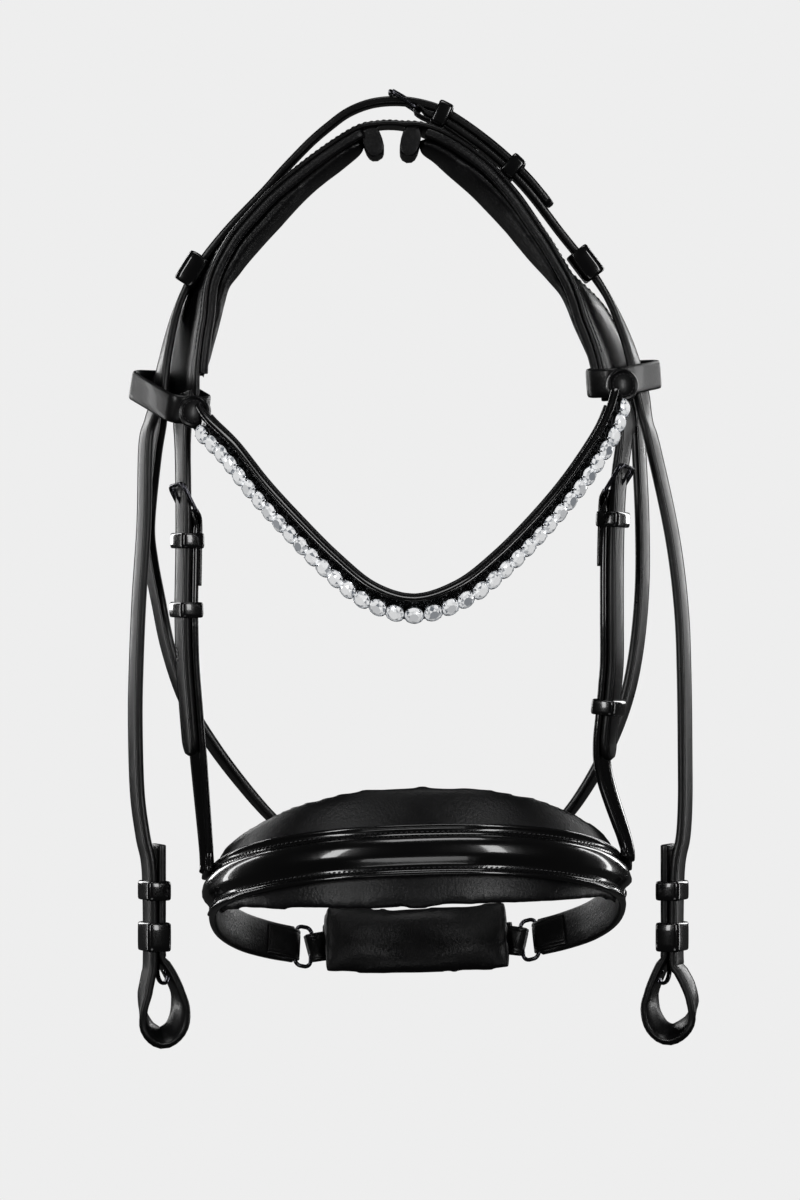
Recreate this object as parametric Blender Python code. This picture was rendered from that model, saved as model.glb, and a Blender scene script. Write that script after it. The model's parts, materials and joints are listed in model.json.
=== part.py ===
"""Snaffle bridle with a V-shaped crystal browband and a padded noseband.

The bridle hangs as it does from a hook under its crown. X runs across the horse's head, Y from its face
towards its neck, and Z up. The origin is on the crown, at the poll. Straps follow routes given in
millimetres for the nominal size, and everything sewn to or threaded on a strap is placed along its route.
"""

import math

import bmesh
import bpy
from mathutils import Matrix, Vector

for old in list(bpy.data.objects):
    bpy.data.objects.remove(old, do_unlink=True)

MM = 0.001

# Overall sizes: across the outsides of the two bit loops, and from the top of the poll to their ends.
SPREAD = 290 * MM
DROP = 489 * MM
NOMINAL_SPREAD = 290 * MM
NOMINAL_DROP = 489 * MM

# Leather: thickness of a strap, of the crown, of a keeper, and the gap left between two layers.
STRAP_T = 4.0 * MM
CROWN_T = 3.0 * MM
KEEPER_T = 1.8 * MM
LAYER_GAP = 0.3 * MM

# Strap widths, and the thickness of the browband and of the roll on the noseband.
CHEEK_W = 14.5 * MM
HANGER_W = 16 * MM
THROAT_W = 14 * MM
CHIN_W = 16 * MM
CROWN_W = 39 * MM
BROW_W = 11 * MM
BROW_LOW = 3 * MM
BROW_T = 3.0 * MM
NOSE_STRAP_W = 27 * MM
NOSE_TAIL_W = 20 * MM
NOSE_RAISED_W = 18 * MM
NOSE_RAISED_T = 3.6 * MM

# Pads. The crown's two start this far up from its ends, and the noseband's parts stop this share of its
# length short of its ends.
PAD_W = 44 * MM
PAD_T = 7.5 * MM
PAD_END_T = 3.0 * MM
PAD_FOOT = 22 * MM
PAD_GAP = 3 * MM
BROW_PAD_T = 2.6 * MM
NOSE_PAD_T = 8 * MM
NOSE_PAD_W = 74 * MM
NOSE_PAD_RISE = 3.5 * MM
NOSE_PAD_SIDE_W = 40 * MM
NOSE_PAD_ENDS = 0.2
NOSE_RAISED_ENDS = 0.22
CHIN_PAD_T = 9 * MM
CHIN_PAD_W = 42 * MM

# Crystal chain, in its channel along the lower half of the browband. It stops short of the band's ends.
CRYSTAL = 8 * MM
CRYSTAL_T = 4.4 * MM
CRYSTAL_SIDE = 3.4 * MM
BROW_END = 10 * MM

# Buckles and rings: the rod, the inside length of a frame and of a ring, how far a frame's bars stand off
# the billet, and how far a tongue starts from its bar and reaches over the other one.
ROD = 2.2 * MM
FRAME_L = 13 * MM
RING_L = 7 * MM
SIDE_PLAY = 0.6 * MM
TONGUE_W = 2.2 * MM
TONGUE_T = 1.6 * MM
TONGUE_FREE = 2 * MM
TONGUE_OVER = 1 * MM

# Keepers along the strap, and the play round it: in most keepers, in those over the poll, in a head loop.
KEEPER_L = 8 * MM
BIT_KEEPER_L = 10 * MM
BIT_RUNNER_L = 15 * MM
HEAD_LOOP_L = 17 * MM
KEEPER_PLAY = 0.5 * MM
RUNNER_PLAY = 0.8 * MM
HEAD_LOOP_PLAY = 1.1 * MM

# Browband loops: their hole has room for the crown beside a hanger's front edge.
BROW_LOOP_L = 15 * MM
BROW_LOOP_T = 2.4 * MM
BROW_LOOP_DEPTH = CROWN_W + HANGER_W - 6 * MM
BROW_LOOP_ROOM = 20.5 * MM
BROW_LOOP_TURN = math.radians(32)

# The straps below the loops are turned this much from square to the face. They swing about this height.
FACE_TURN = math.radians(23)
SPLIT_Z = -150

# Bit loops, from the foot of the cheekpiece: the middle of the loop, the heights of the two keepers, and
# the hook stud inside it.
LOOP_MIDDLE = (6.5 * MM, -28 * MM)
BIT_KEEPER_UP = 35 * MM
BIT_RUNNER_UP = 11 * MM
HOOK_IN = 3.9 * MM
HOOK_UP = -11 * MM
HOOK_SIZE = (7 * MM, 4.4 * MM, 8 * MM)

# How far the noseband hangs lower on its left, where its weight hangs under, where a hanger meets it, and how the hanger's foot lies on it.
NOSE_TILT = 0.03
NOSE_AXIS_Y = -21.5
HANGER_FOOT_Y = -14
FOOT_OUT = {"left": 3.4 * MM, "right": 1.2 * MM}
FOOT_RUN = 12 * MM


def place(x, y, z):
    """A point of the nominal bridle, in millimetres, put where it lies on this one."""
    return Vector((x * MM * SPREAD / NOMINAL_SPREAD, y * MM, z * MM * DROP / NOMINAL_DROP))


def material(name, hex_colour, roughness, metallic=0.0):
    made = bpy.data.materials.new(name)
    made.use_nodes = True
    shader = made.node_tree.nodes["Principled BSDF"]
    srgb = [int(hex_colour[i : i + 2], 16) / 255 for i in (0, 2, 4)]
    linear = [c / 12.92 if c <= 0.04045 else ((c + 0.055) / 1.055) ** 2.4 for c in srgb]
    shader.inputs["Base Color"].default_value = (*linear, 1)
    shader.inputs["Roughness"].default_value = roughness
    shader.inputs["Metallic"].default_value = metallic
    return made


BRIDLE_LEATHER = material("black_bridle_leather", "141414", 0.38)
PATENT = material("black_patent_leather", "0d0d0e", 0.12)
SOFT_LEATHER = material("black_padded_leather", "1b1b1c", 0.62)
STEEL = material("black_nickel", "3a3a3d", 0.25, 1.0)
CRYSTALS = material("crystal_chain", "dfe3e8", 0.1)


def spot_of(empty):
    """Where an empty lies in the world: none of them is turned."""
    return empty.location + (spot_of(empty.parent) if empty.parent else Vector())


def pivot(name, at, parent=None):
    """An empty on a joint's axis. The pieces that move with the joint hang from it."""
    empty = bpy.data.objects.new(name + "_axis", None)
    empty.parent = parent
    empty.location = at - (spot_of(parent) if parent else Vector())
    bpy.context.collection.objects.link(empty)
    return empty


def add(name, bm, finish, parent):
    """Makes a named object of a mesh modelled in place, with its origin on its parent's axis."""
    bm.normal_update()
    bmesh.ops.recalc_face_normals(bm, faces=bm.faces)
    mesh = bpy.data.meshes.new(name)
    bm.to_mesh(mesh)
    bm.free()
    mesh.transform(Matrix.Translation(-spot_of(parent)))
    mesh.materials.append(finish)
    made = bpy.data.objects.new(name, mesh)
    made.parent = parent
    bpy.context.collection.objects.link(made)
    return made


class Route:
    """A smooth line through hand-chosen points, with the direction that the strap's face looks in."""

    def __init__(self, points, faces, steps=2):
        ends = [points[0] * 2 - points[1], *points, points[-1] * 2 - points[-2]]
        sides = [faces[0], *faces, faces[-1]]
        self.spots, hints = [], []
        for k in range(1, len(ends) - 2):
            for i in range(steps):
                f = i / steps
                self.spots.append(curve(ends[k - 1 : k + 3], f))
                hints.append(sides[k].lerp(sides[k + 1], f))
        self.spots.append(ends[-2])
        hints.append(sides[-1])
        last = len(self.spots) - 1
        self.frames, self.marks = [], [0.0]
        for i, spot in enumerate(self.spots):
            along = (self.spots[min(i + 1, last)] - self.spots[max(i - 1, 0)]).normalized()
            face = (hints[i] - along * hints[i].dot(along)).normalized()
            self.frames.append((spot, along, face))
            if i:
                self.marks.append(self.marks[-1] + (spot - self.spots[i - 1]).length)
        self.length = self.marks[-1]

    def at(self, mark):
        """The place, direction and face at a distance along the route."""
        mark = min(max(mark, 0.0), self.length)
        i = max(k for k in range(len(self.marks) - 1) if self.marks[k] <= mark)
        f = (mark - self.marks[i]) / (self.marks[i + 1] - self.marks[i])
        a, b = self.frames[i], self.frames[i + 1]
        along = a[1].lerp(b[1], f).normalized()
        face = a[2].lerp(b[2], f)
        face = (face - along * face.dot(along)).normalized()
        return a[0].lerp(b[0], f), along, face

    def between(self, start, end):
        inner = [f for f, m in zip(self.frames, self.marks) if start + 0.6 * MM < m < end - 0.6 * MM]
        return [self.at(start), *inner, self.at(end)]

    def crossing(self, axis, value):
        """How far along the route its coordinate first passes a value given in nominal millimetres."""
        level = place(value, value, value)[axis]
        for i in range(len(self.spots) - 1):
            a, b = self.spots[i][axis], self.spots[i + 1][axis]
            if (a - level) * (b - level) <= 0 and a != b:
                return self.marks[i] + (self.marks[i + 1] - self.marks[i]) * (level - a) / (b - a)
        raise ValueError(f"the route never passes {value}")


def curve(p, f):
    """Catmull-Rom between the second and third of four points."""
    return 0.5 * (
        2 * p[1]
        + (p[2] - p[0]) * f
        + (2 * p[0] - 5 * p[1] + 4 * p[2] - p[3]) * f**2
        + (3 * p[1] - p[0] - 3 * p[2] + p[3]) * f**3
    )


def strap(name, route, start, end, width, thick, finish, parent, lift=0.0, side=0.0):
    """A flat strap along a stretch of a route. Width and thickness may be functions of 0 to 1 along it."""
    wide = width if callable(width) else lambda f: width
    deep = thick if callable(thick) else lambda f: thick
    frames = route.between(start, end)
    bm = bmesh.new()
    section = None
    for i, (spot, along, face) in enumerate(frames):
        f = i / (len(frames) - 1)
        across = face.cross(along)
        middle = spot + face * lift + across * side
        w, t = across * wide(f) / 2, face * deep(f) / 2
        corners = [middle - w - t, middle + w - t, middle + w + t, middle - w + t]
        if section is None:
            section = bm.faces.new([bm.verts.new(c) for c in corners])
            ring = list(section.verts)
            continue
        grown = bmesh.ops.extrude_face_region(bm, geom=[section])["geom"]
        new = [v for v in grown if isinstance(v, bmesh.types.BMVert)]
        pairs = [min(new, key=lambda v: (v.co - old.co).length) for old in ring]
        if i > 1:
            bmesh.ops.delete(bm, geom=[section], context="FACES_ONLY")
        section = next(g for g in grown if isinstance(g, bmesh.types.BMFace))
        for vert, corner in zip(pairs, corners):
            vert.co = corner
        ring = pairs
    return add(name, bm, finish, parent)


def band(name, frame, inside, wall, length, finish, parent, lift=0.0):
    """A rectangular loop: inside is its hole across the strap and through it."""
    spot, along, face = frame
    across = face.cross(along)
    bm = bmesh.new()
    bmesh.ops.create_grid(bm, x_segments=1, y_segments=1, size=0.5)
    outer = Matrix.Diagonal((inside[0] + 2 * wall, inside[1] + 2 * wall, 1, 1))
    bmesh.ops.transform(bm, matrix=outer, verts=bm.verts)
    middle = list(bm.faces)
    bmesh.ops.inset_region(bm, faces=middle, thickness=wall, use_boundary=True, use_even_offset=True)
    bmesh.ops.delete(bm, geom=middle, context="FACES")
    grown = bmesh.ops.extrude_face_region(bm, geom=list(bm.faces))["geom"]
    raised = [v for v in grown if isinstance(v, bmesh.types.BMVert)]
    bmesh.ops.translate(bm, verts=raised, vec=(0, 0, length))
    bmesh.ops.translate(bm, verts=bm.verts, vec=(0, 0, -length / 2))
    turn = Matrix((across, face, along)).transposed().to_4x4()
    bm.transform(Matrix.Translation(spot + face * lift) @ turn)
    return add(name, bm, finish, parent)


def block(name, frame, size, finish, parent, lift=0.0):
    """A plain bar: size is across the strap, through it and along it."""
    spot, along, face = frame
    bm = bmesh.new()
    bmesh.ops.create_cube(bm, size=1, matrix=Matrix.Diagonal((*size, 1)))
    turn = Matrix((face.cross(along), face, along)).transposed().to_4x4()
    bm.transform(Matrix.Translation(spot + face * lift) @ turn)
    return add(name, bm, finish, parent)


def buckled(name, route, width, buckle, keeper, runner, billet, chape, parent, play=KEEPER_PLAY):
    """Two straps that a buckle joins. The billet comes along the route, runs through the frame and both
    keepers, and ends in a tail. The other strap starts at the frame, and carries it, its tongue and the
    fixed keeper. billet and chape are the stretches of route that the two straps take."""
    layer = STRAP_T + LAYER_GAP
    strap(name + "_billet", route, *billet, width, STRAP_T, BRIDLE_LEATHER, parent, lift=layer)
    # The frame leans, so that the billet runs over its near bar and under its far one.
    half = (FRAME_L + ROD) / 2
    rise = (STRAP_T + ROD) / 2 + 3 * LAYER_GAP
    lean = math.atan2(rise, half)
    spot, along, face = route.at(buckle)
    down = along * math.cos(lean) - face * math.sin(lean)
    out = along * math.sin(lean) + face * math.cos(lean)
    centre = spot + face * layer
    arm = math.hypot(rise, half)
    hole = (width + 2 * SIDE_PLAY, 2 * arm - ROD)
    band(name + "_buckle", (centre, out, down), hole, ROD, ROD, STEEL, parent)
    hinge = pivot(name + "_tongue", centre + down * arm, parent)
    length = arm + ROD / 2 - TONGUE_FREE + TONGUE_OVER
    middle = centre - down * (TONGUE_FREE + length / 2)
    size = (TONGUE_W, TONGUE_T, length)
    lift = (ROD + TONGUE_T) / 2 + LAYER_GAP
    block(name + "_tongue", (middle, down, out), size, STEEL, hinge, lift=lift)
    near = buckle + half + ROD / 2 + 5 * LAYER_GAP
    strap(name + "_strap", route, near, chape[1], width, STRAP_T, BRIDLE_LEATHER, parent)
    room = (width + 2 * play, 2 * STRAP_T + LAYER_GAP + 2 * play)
    keep = {"inside": room, "wall": KEEPER_T, "length": KEEPER_L, "finish": PATENT, "lift": layer / 2}
    band(name + "_fixed_keeper", route.at(keeper), parent=parent, **keep)
    slide = pivot(name + "_running_keeper", route.at(runner)[0], parent)
    band(name + "_running_keeper", route.at(runner), parent=slide, **keep)


def points(*rows):
    return [place(*row) for row in rows]


def directions(*rows):
    return [Vector(row).normalized() for row in rows]


UP = Vector((0, 0, 1))
root = pivot("bridle", Vector((0, 0, 0)))

# Where the two browband loops gather the straps. Strap ends in a loop are placed from its middle.
LOOPS = {"left": place(-128.5, -2, -141.5), "right": place(109, -2, -132)}


def by_loop(side, *rows):
    return [LOOPS[side] + Vector(row) * MM for row in rows]


# Over the poll: the cheek straps meet at a buckle on top of the crown.
OVER_POLL = [
    *by_loop("left", (-6, 6, -1.5), (-3, 6, 18.5)),
    *points(
        (-125, 3, -96.5), (-115, 2, -76), (-99, 0, -55.5), (-79.5, 0, -35), (-60, 0, -14), (-36.5, 0, 2),
        (-22.5, 0, 7), (-8, 0, 8), (9, 0, 4.5), (25.5, 0, -5.5), (42, 0, -18.5), (58, 0, -34.5),
        (75.5, 2, -57), (90, 3, -75), (101.5, 3, -93.5),
    ),
    *by_loop("right", (2, 6, 15), (8.5, 6, -11)),
]
OVER_POLL_FACES = directions(
    (-0.85, -0.5, 0), (-0.94, -0.3, 0.2), (-0.9, -0.1, 0.4), (-0.8, 0, 0.6), (-0.7, 0, 0.7),
    (-0.7, 0, 0.7), (-0.65, 0, 0.75), (-0.55, 0, 0.83), (-0.25, 0, 1), (0.1, 0, 1), (0.4, 0, 0.9),
    (0.6, 0, 0.8), (0.65, 0, 0.75), (0.75, 0, 0.65), (0.8, 0, 0.6), (0.82, 0, 0.55),
    (0.88, -0.1, 0.45), (0.93, -0.3, 0.25), (0.85, -0.5, 0),
)
over_poll = Route(OVER_POLL, OVER_POLL_FACES, steps=3)
buckled(
    "poll", over_poll, CHEEK_W,
    buckle=over_poll.crossing(0, -7), keeper=over_poll.crossing(0, 12), runner=over_poll.crossing(0, 48),
    billet=(0, over_poll.crossing(0, 63)), chape=(0, over_poll.length), parent=root, play=RUNNER_PLAY,
)

# The crown lies under the cheek straps. Its two ends turn forwards into the browband loops.
CROWN = [
    *by_loop("left", (5.5, 2, -1.5), (7, 2, 17.5)),
    *points(
        (-117.6, 0, -99.5), (-110.8, 0, -78.7), (-96, 0, -58.4), (-76.2, 0, -38.4), (-55, 0, -20),
        (-33, 0, -4.5), (-20.7, 0, -0.5), (-8, 0, -0.5), (5.8, 0, -3.6), (20.3, 0, -13), (35.8, 0, -25.8),
        (50.5, 0, -41.6), (67.5, 0, -63.5), (82.1, 0, -81.3), (92.7, 0, -98.2),
    ),
    *by_loop("right", (-6.7, 2, 11), (-3, 2, -11)),
]
CROWN_FACES = directions(
    (-0.85, -0.53, 0), (-0.88, -0.44, 0.05), (-0.93, -0.04, 0.3), (-0.8, 0.12, 0.5), (-0.75, 0.15, 0.65),
    (-0.7, 0.08, 0.7), (-0.65, 0.04, 0.75), (-0.5, 0, 0.83), (-0.25, -0.04, 1), (0.1, -0.04, 1),
    (0.4, 0.06, 0.9), (0.55, 0.18, 0.8), (0.62, 0.24, 0.75), (0.72, 0.28, 0.65), (0.76, 0.26, 0.6),
    (0.8, 0.18, 0.55), (0.87, -0.05, 0.4), (0.88, -0.42, 0.1), (0.85, -0.53, 0),
)
crown = Route(CROWN, CROWN_FACES, steps=3)
strap("crown", crown, 0, crown.length, CROWN_W, CROWN_T, BRIDLE_LEATHER, root)


def pad_thick(f):
    return PAD_END_T + (PAD_T - PAD_END_T) * min(1, 12 * f, 12 * (1 - f))


def pad_wide(f):
    return PAD_W * (0.8 + 0.2 * math.sin(math.pi * f))


pad_lift = -(CROWN_T + PAD_T) / 2 - PAD_GAP
left_pad = (PAD_FOOT, crown.crossing(0, -27))
right_pad = (crown.crossing(0, 0), crown.length - PAD_FOOT)
strap("pad_left", crown, *left_pad, pad_wide, pad_thick, SOFT_LEATHER, root, lift=pad_lift)
strap("pad_right", crown, *right_pad, pad_wide, pad_thick, SOFT_LEATHER, root, lift=pad_lift)
for side, height, lift in (("left", -75.5, STRAP_T + LAYER_GAP), ("right", -71, 0)):
    marks = [m for m in over_poll.marks if (over_poll.at(m)[0].x < 0) == (side == "left")]
    level = place(0, 0, height).z
    mark = min(marks, key=lambda m: abs(over_poll.at(m)[0].z - level))
    room = (CHEEK_W + 2 * HEAD_LOOP_PLAY, STRAP_T + 2 * HEAD_LOOP_PLAY)
    band("head_loop_" + side, over_poll.at(mark), room, KEEPER_T, HEAD_LOOP_L, PATENT, root, lift=lift)

# The browband's ends are folded round the crown and the cheek straps, as loops.
for side, sign, tilt in (("left", -1, 18), ("right", 1, 8)):
    out = Vector((sign * math.cos(BROW_LOOP_TURN), -math.sin(BROW_LOOP_TURN), 0))
    axis = Matrix.Rotation(sign * math.radians(tilt), 3, out) @ UP
    room = (BROW_LOOP_DEPTH, BROW_LOOP_ROOM)
    frame = (LOOPS[side], axis, out)
    band("browband_loop_" + side, frame, room, BROW_LOOP_T, BROW_LOOP_L, PATENT, root)

LOOP_FRONT = BROW_LOOP_DEPTH / MM / 2
BROWBAND = [
    *by_loop("left", (15.5, -2 - LOOP_FRONT, -8.5), (21.5, -10 - LOOP_FRONT, -16.5)),
    *points(
        (-94.5, -46, -170.5), (-79, -56, -190), (-61.5, -66, -209), (-42.5, -75, -228), (-23, -82, -243.5),
        (-1, -86, -249.5), (22, -82, -242), (41.5, -75, -227), (60, -66, -208.5), (77.5, -56, -188),
        (93, -46, -165.5),
    ),
    *by_loop("right", (-9.5, -13 - LOOP_FRONT, -20), (-6.5, -7.5 - LOOP_FRONT, -9)),
]
BROWBAND_FACES = directions(
    (-0.8, -0.6, -0.1), (-0.7, -0.65, -0.25), (-0.45, -0.75, -0.4), (-0.42, -0.75, -0.45),
    (-0.4, -0.75, -0.5), (-0.3, -0.78, -0.55), (-0.15, -0.8, -0.57), (0, -0.82, -0.57),
    (0.15, -0.8, -0.57), (0.3, -0.78, -0.55), (0.4, -0.75, -0.5), (0.42, -0.75, -0.45),
    (0.45, -0.75, -0.4), (0.7, -0.65, -0.2), (0.85, -0.5, -0.1),
)
browband = Route(BROWBAND, BROWBAND_FACES)
strap("browband", browband, 0, browband.length, BROW_W, BROW_T, PATENT, root, side=-BROW_LOW)
brow_lift = (BROW_T + BROW_PAD_T) / 2 + 2 * LAYER_GAP
chain_lift = (BROW_T + CRYSTAL_T) / 2 + 2 * LAYER_GAP
inner = (BROW_END, browband.length - BROW_END)
strap("browband_lining", browband, *inner, BROW_W, BROW_PAD_T, SOFT_LEATHER, root, -brow_lift, -BROW_LOW)
strap("crystal_chain", browband, *inner, CRYSTAL, CRYSTAL_T, CRYSTALS, root, chain_lift, -CRYSTAL_SIDE)

# Cheekpieces: each hangs from the strap over the poll, goes round the bit ring and back up to its hook.
# The loop is drawn in the strap's own plane: how far in from the strap, and how far below its foot.
DOUBLED = STRAP_T + 2 * LAYER_GAP
BIT_LOOPS = {
    "left": (
        (-1, -9), (-3, -19), (-3.8, -29), (-1, -37.5), (6.5, -42), (14, -37.5),
        (16.7, -29), (15.5, -19), (11, -9), (6.5, -2),
    ),
    "right": (
        (-2, -6), (-6.2, -13.5), (-9, -23), (-7, -33.5), (2.2, -40), (10, -37),
        (14.2, -28.5), (13.8, -19), (10, -9), (6.5, -2),
    ),
}
FOOT_Z = -433
STUB = 59 * MM
CHEEKS = {
    "left": (
        (-142, 0, -207.5), (-144.5, 0, -245.5), (-146, 0, -280.5), (-146.5, 0, -309.5),
        (-145.5, 0, -346.5), (-142.5, 0, -370), (-139.3, 0, -388), (-138.7, 0, FOOT_Z),
    ),
    "right": (
        (132.5, 0, -212), (137.5, 0, -251), (139, 0, -287.5), (139.5, 0, -330),
        (139.5, 0, -352), (138.5, 0, -370), (135.5, 0, -388), (134.9, 0, FOOT_Z),
    ),
}
CHEEK_TOPS = {
    "left": by_loop("left", (-9.5, 4, -11.5), (-12.5, 2, -24.5)),
    "right": by_loop("right", (10, 4, -21), (13.5, 2, -34)),
}
for side, rows in CHEEKS.items():
    sign = -1 if side == "left" else 1
    out = Vector((sign * math.cos(FACE_TURN), -math.sin(FACE_TURN), 0))
    foot = place(*rows[-1])
    middle = foot - out * LOOP_MIDDLE[0] + UP * LOOP_MIDDLE[1]
    loop = [foot - out * q * MM + UP * h * MM for q, h in BIT_LOOPS[side]]
    stub = [foot - out * DOUBLED + UP * h for h in (2 * MM, STUB / 2, STUB)]
    down = CHEEK_TOPS[side] + points(*rows)
    faces = [out] * len(down) + [(spot - middle).normalized() for spot in loop] + [-out] * len(stub)
    cheek = Route(down + loop + stub, faces)
    body = pivot("cheekpiece_" + side, Vector((down[0].x, 0, place(0, 0, SPLIT_Z).z)))
    strap("cheekpiece_" + side, cheek, 0, cheek.length, CHEEK_W, STRAP_T, BRIDLE_LEATHER, body)
    room = (CHEEK_W + 2 * KEEPER_PLAY, STRAP_T + DOUBLED + 2 * KEEPER_PLAY)
    upper = (foot - out * DOUBLED / 2 + UP * BIT_KEEPER_UP, UP, out)
    lower = (foot - out * DOUBLED / 2 + UP * BIT_RUNNER_UP, UP, out)
    band("bit_fixed_keeper_" + side, upper, room, KEEPER_T, BIT_KEEPER_L, PATENT, body)
    slide = pivot("bit_running_keeper_" + side, lower[0], body)
    band("bit_running_keeper_" + side, lower, room, KEEPER_T, BIT_RUNNER_L, PATENT, slide)
    hook = (foot - out * HOOK_IN + UP * HOOK_UP, UP, out)
    block("hook_stud_" + side, hook, HOOK_SIZE, STEEL, body)

# The throatlatch hangs as a U behind the noseband's hangers.
THROATLATCH = [
    *by_loop("left", (-6, 17, -11.5), (-9, 18.5, -30.5)),
    *points(
        (-141, 19, -207), (-139.5, 19, -226), (-135.5, 17, -247), (-130, 15, -273), (-121, 15, -299.5), (-107.5, 15, -322),
        (-91, 15, -344), (-74, 15, -363), (-51, 15, -382.5), (-24.5, 15, -396), (1.5, 15, -400.5),
        (28, 15, -396.5), (54, 15, -382.5), (75, 15, -363.5), (88, 15, -346.5), (100, 15, -324.5),
        (109.5, 15, -299.5), (115, 15, -273), (118, 15, -240), (118, 15, -205),
    ),
    *by_loop("right", (7.5, 17, -40), (6.5, 17, -21)),
]
centre = place(-9, 15, -260)
throat_faces = []
for spot in THROATLATCH:
    away = spot - centre if spot.z < centre.z else Vector((spot.x - centre.x, 0, 0))
    away.normalize()
    throat_faces.append(away - Vector((0, math.tan(FACE_TURN) * abs(away.x), 0)))
throatlatch = Route(THROATLATCH, throat_faces)
throat_body = pivot("throatlatch", place(-9, 15, SPLIT_Z))
strap("throatlatch", throatlatch, 0, throatlatch.length, THROAT_W, STRAP_T, BRIDLE_LEATHER, throat_body)

# The noseband is a ring that drops towards the chin. Half of its line, from the front round to the back.
noseband = pivot("noseband", place(0, NOSE_AXIS_Y, SPLIT_Z))
NOSE_HALF = (
    (35, -81, -373.5), (65, -69, -377), (88, -48, -383), (102, -22, -391), (106, 2, -400),
    (103, 26, -411), (93, 46, -420), (79, 59, -426), (66, 65, -429.5),
)
nose_rows = [(-x, y, z - NOSE_TILT * x) for x, y, z in reversed(NOSE_HALF)]
nose_rows += [(0, -85, -372.5), *((x, y, z + NOSE_TILT * x) for x, y, z in NOSE_HALF)]
NOSE_LINE = points(*nose_rows)
ring_middle = place(0, -8, -401)
nose = Route(NOSE_LINE, [(spot - ring_middle).normalized() for spot in NOSE_LINE], steps=2)


def nose_strap_wide(f):
    return NOSE_TAIL_W + (NOSE_STRAP_W - NOSE_TAIL_W) * min(1, 3.2 * min(f, 1 - f))


def nose_pad_wide(f):
    return NOSE_PAD_SIDE_W + (NOSE_PAD_W - NOSE_PAD_SIDE_W) * math.sin(math.pi * f) ** 1.2


nose_in = -(STRAP_T + NOSE_PAD_T) / 2 - LAYER_GAP
nose_out = (STRAP_T + NOSE_RAISED_T) / 2 + LAYER_GAP
padded = (nose.length * NOSE_PAD_ENDS, nose.length * (1 - NOSE_PAD_ENDS))
raised = (nose.length * NOSE_RAISED_ENDS, nose.length * (1 - NOSE_RAISED_ENDS))
strap("noseband", nose, 0, nose.length, nose_strap_wide, STRAP_T, PATENT, noseband)
strap("noseband_padding", nose, *padded, nose_pad_wide, NOSE_PAD_T, SOFT_LEATHER, noseband, lift=nose_in,
      side=NOSE_PAD_RISE)
strap("noseband_roll", nose, *raised, NOSE_RAISED_W, NOSE_RAISED_T, PATENT, noseband, lift=nose_out)

# Each hanger comes down from its buckle and ends on the outside of the noseband, beside the roll.
HANGER_TOPS = {
    "left": by_loop("left", (11, -7, -11.5), (11.5, -12, -29.5), (12, -16, -54.5), (12, -16, -76.5)),
    "right": by_loop("right", (-5, -9, -21), (-6.5, -13, -36), (-9, -16, -54), (-10, -16, -73)),
}
HANGERS = {
    "left": (
        (-116.8, -18, -237), (-117, -18, -253), (-116.5, -17, -278), (-115, -16, -299), (-112.5, -14, -330),
    ),
    "right": (
        (98.5, -18, -229), (98.5, -18, -258), (98.5, -17, -280), (97, -16, -299), (95.5, -14, -332),
    ),
}
# From the top of the hanger down to its buckle and its fixed keeper, and the heights of its running keeper
# and of the end of the billet's tail.
HANGER_MARKS = {"left": (43.5 * MM, 64.5 * MM), "right": (33.5 * MM, 53.5 * MM)}
HANGER_HEIGHTS = {"left": (-252, -327), "right": (-302, -330)}
for side, rows in HANGERS.items():
    sign = -1 if side == "left" else 1
    mark = nose.crossing(1, HANGER_FOOT_Y)
    spot, along, face = nose.at(mark if side == "left" else nose.length - mark)
    foot = spot + face.cross(along) * (NOSE_STRAP_W / 2 + 6 * LAYER_GAP) + face * FOOT_OUT[side]
    out = Vector((sign * math.cos(FACE_TURN), -math.sin(FACE_TURN), 0))
    turned = Vector((sign * math.cos(BROW_LOOP_TURN), -math.sin(BROW_LOOP_TURN), 0))
    down = HANGER_TOPS[side] + points(*rows)
    end = [foot + face.cross(along) * FOOT_RUN, foot]
    hanger = Route(down + end, [turned] + [out] * (len(down) - 1) + [face, face])
    at_buckle, at_keeper = HANGER_MARKS[side]
    at_runner, at_tail = (hanger.crossing(2, z) for z in HANGER_HEIGHTS[side])
    buckled(
        "hanger_" + side, hanger, HANGER_W, buckle=at_buckle, keeper=at_keeper, runner=at_runner,
        billet=(0, at_tail), chape=(0, hanger.length), parent=noseband,
    )

# Under the chin: a pad, with a strap behind it that joins the noseband's two ends through rings.
CHIN = points((50, 73, -427), (25, 81, -430), (0, 84, -431), (-25, 81, -431), (-50, 73, -429))
chin = Route(CHIN, [Vector((x, 1, -0.3)).normalized() for x in (0.35, 0.15, 0, -0.15, -0.35)], steps=3)
pad_lift = -(STRAP_T + CHIN_PAD_T) / 2 - KEEPER_PLAY - KEEPER_T - LAYER_GAP
strap("chin_pad", chin, 0, chin.length, CHIN_PAD_W, CHIN_PAD_T, SOFT_LEATHER, noseband, lift=pad_lift)
buckled(
    "chin", chin, CHIN_W, buckle=chin.crossing(0, 14), keeper=chin.crossing(0, -4),
    runner=chin.crossing(0, -18), billet=(0, chin.crossing(0, -34)), chape=(0, chin.length), parent=noseband,
)
for side, sign in (("left", -1), ("right", 1)):
    spot, along, face = nose.at(0 if sign < 0 else nose.length)
    reach = RING_L / 2 + ROD + LAYER_GAP
    back = along * sign
    ring = (spot + back * reach, face, back)
    hinge = pivot("chin_ring_" + side, spot + back * (ROD / 2 + LAYER_GAP), noseband)
    band("chin_ring_" + side, ring, (NOSE_TAIL_W, RING_L), ROD, ROD, STEEL, hinge)
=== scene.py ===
"""Snaffle bridle with a V-shaped crystal browband and a padded noseband, dressed for the studio.

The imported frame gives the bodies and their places. Every strap is modelled again along its route, in
millimetres, with its edges, creases, folds, stitches, padding and hardware.
"""

import json
import math
from bisect import bisect_right

import bmesh
import bpy
from mathutils import Matrix, Vector

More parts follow.
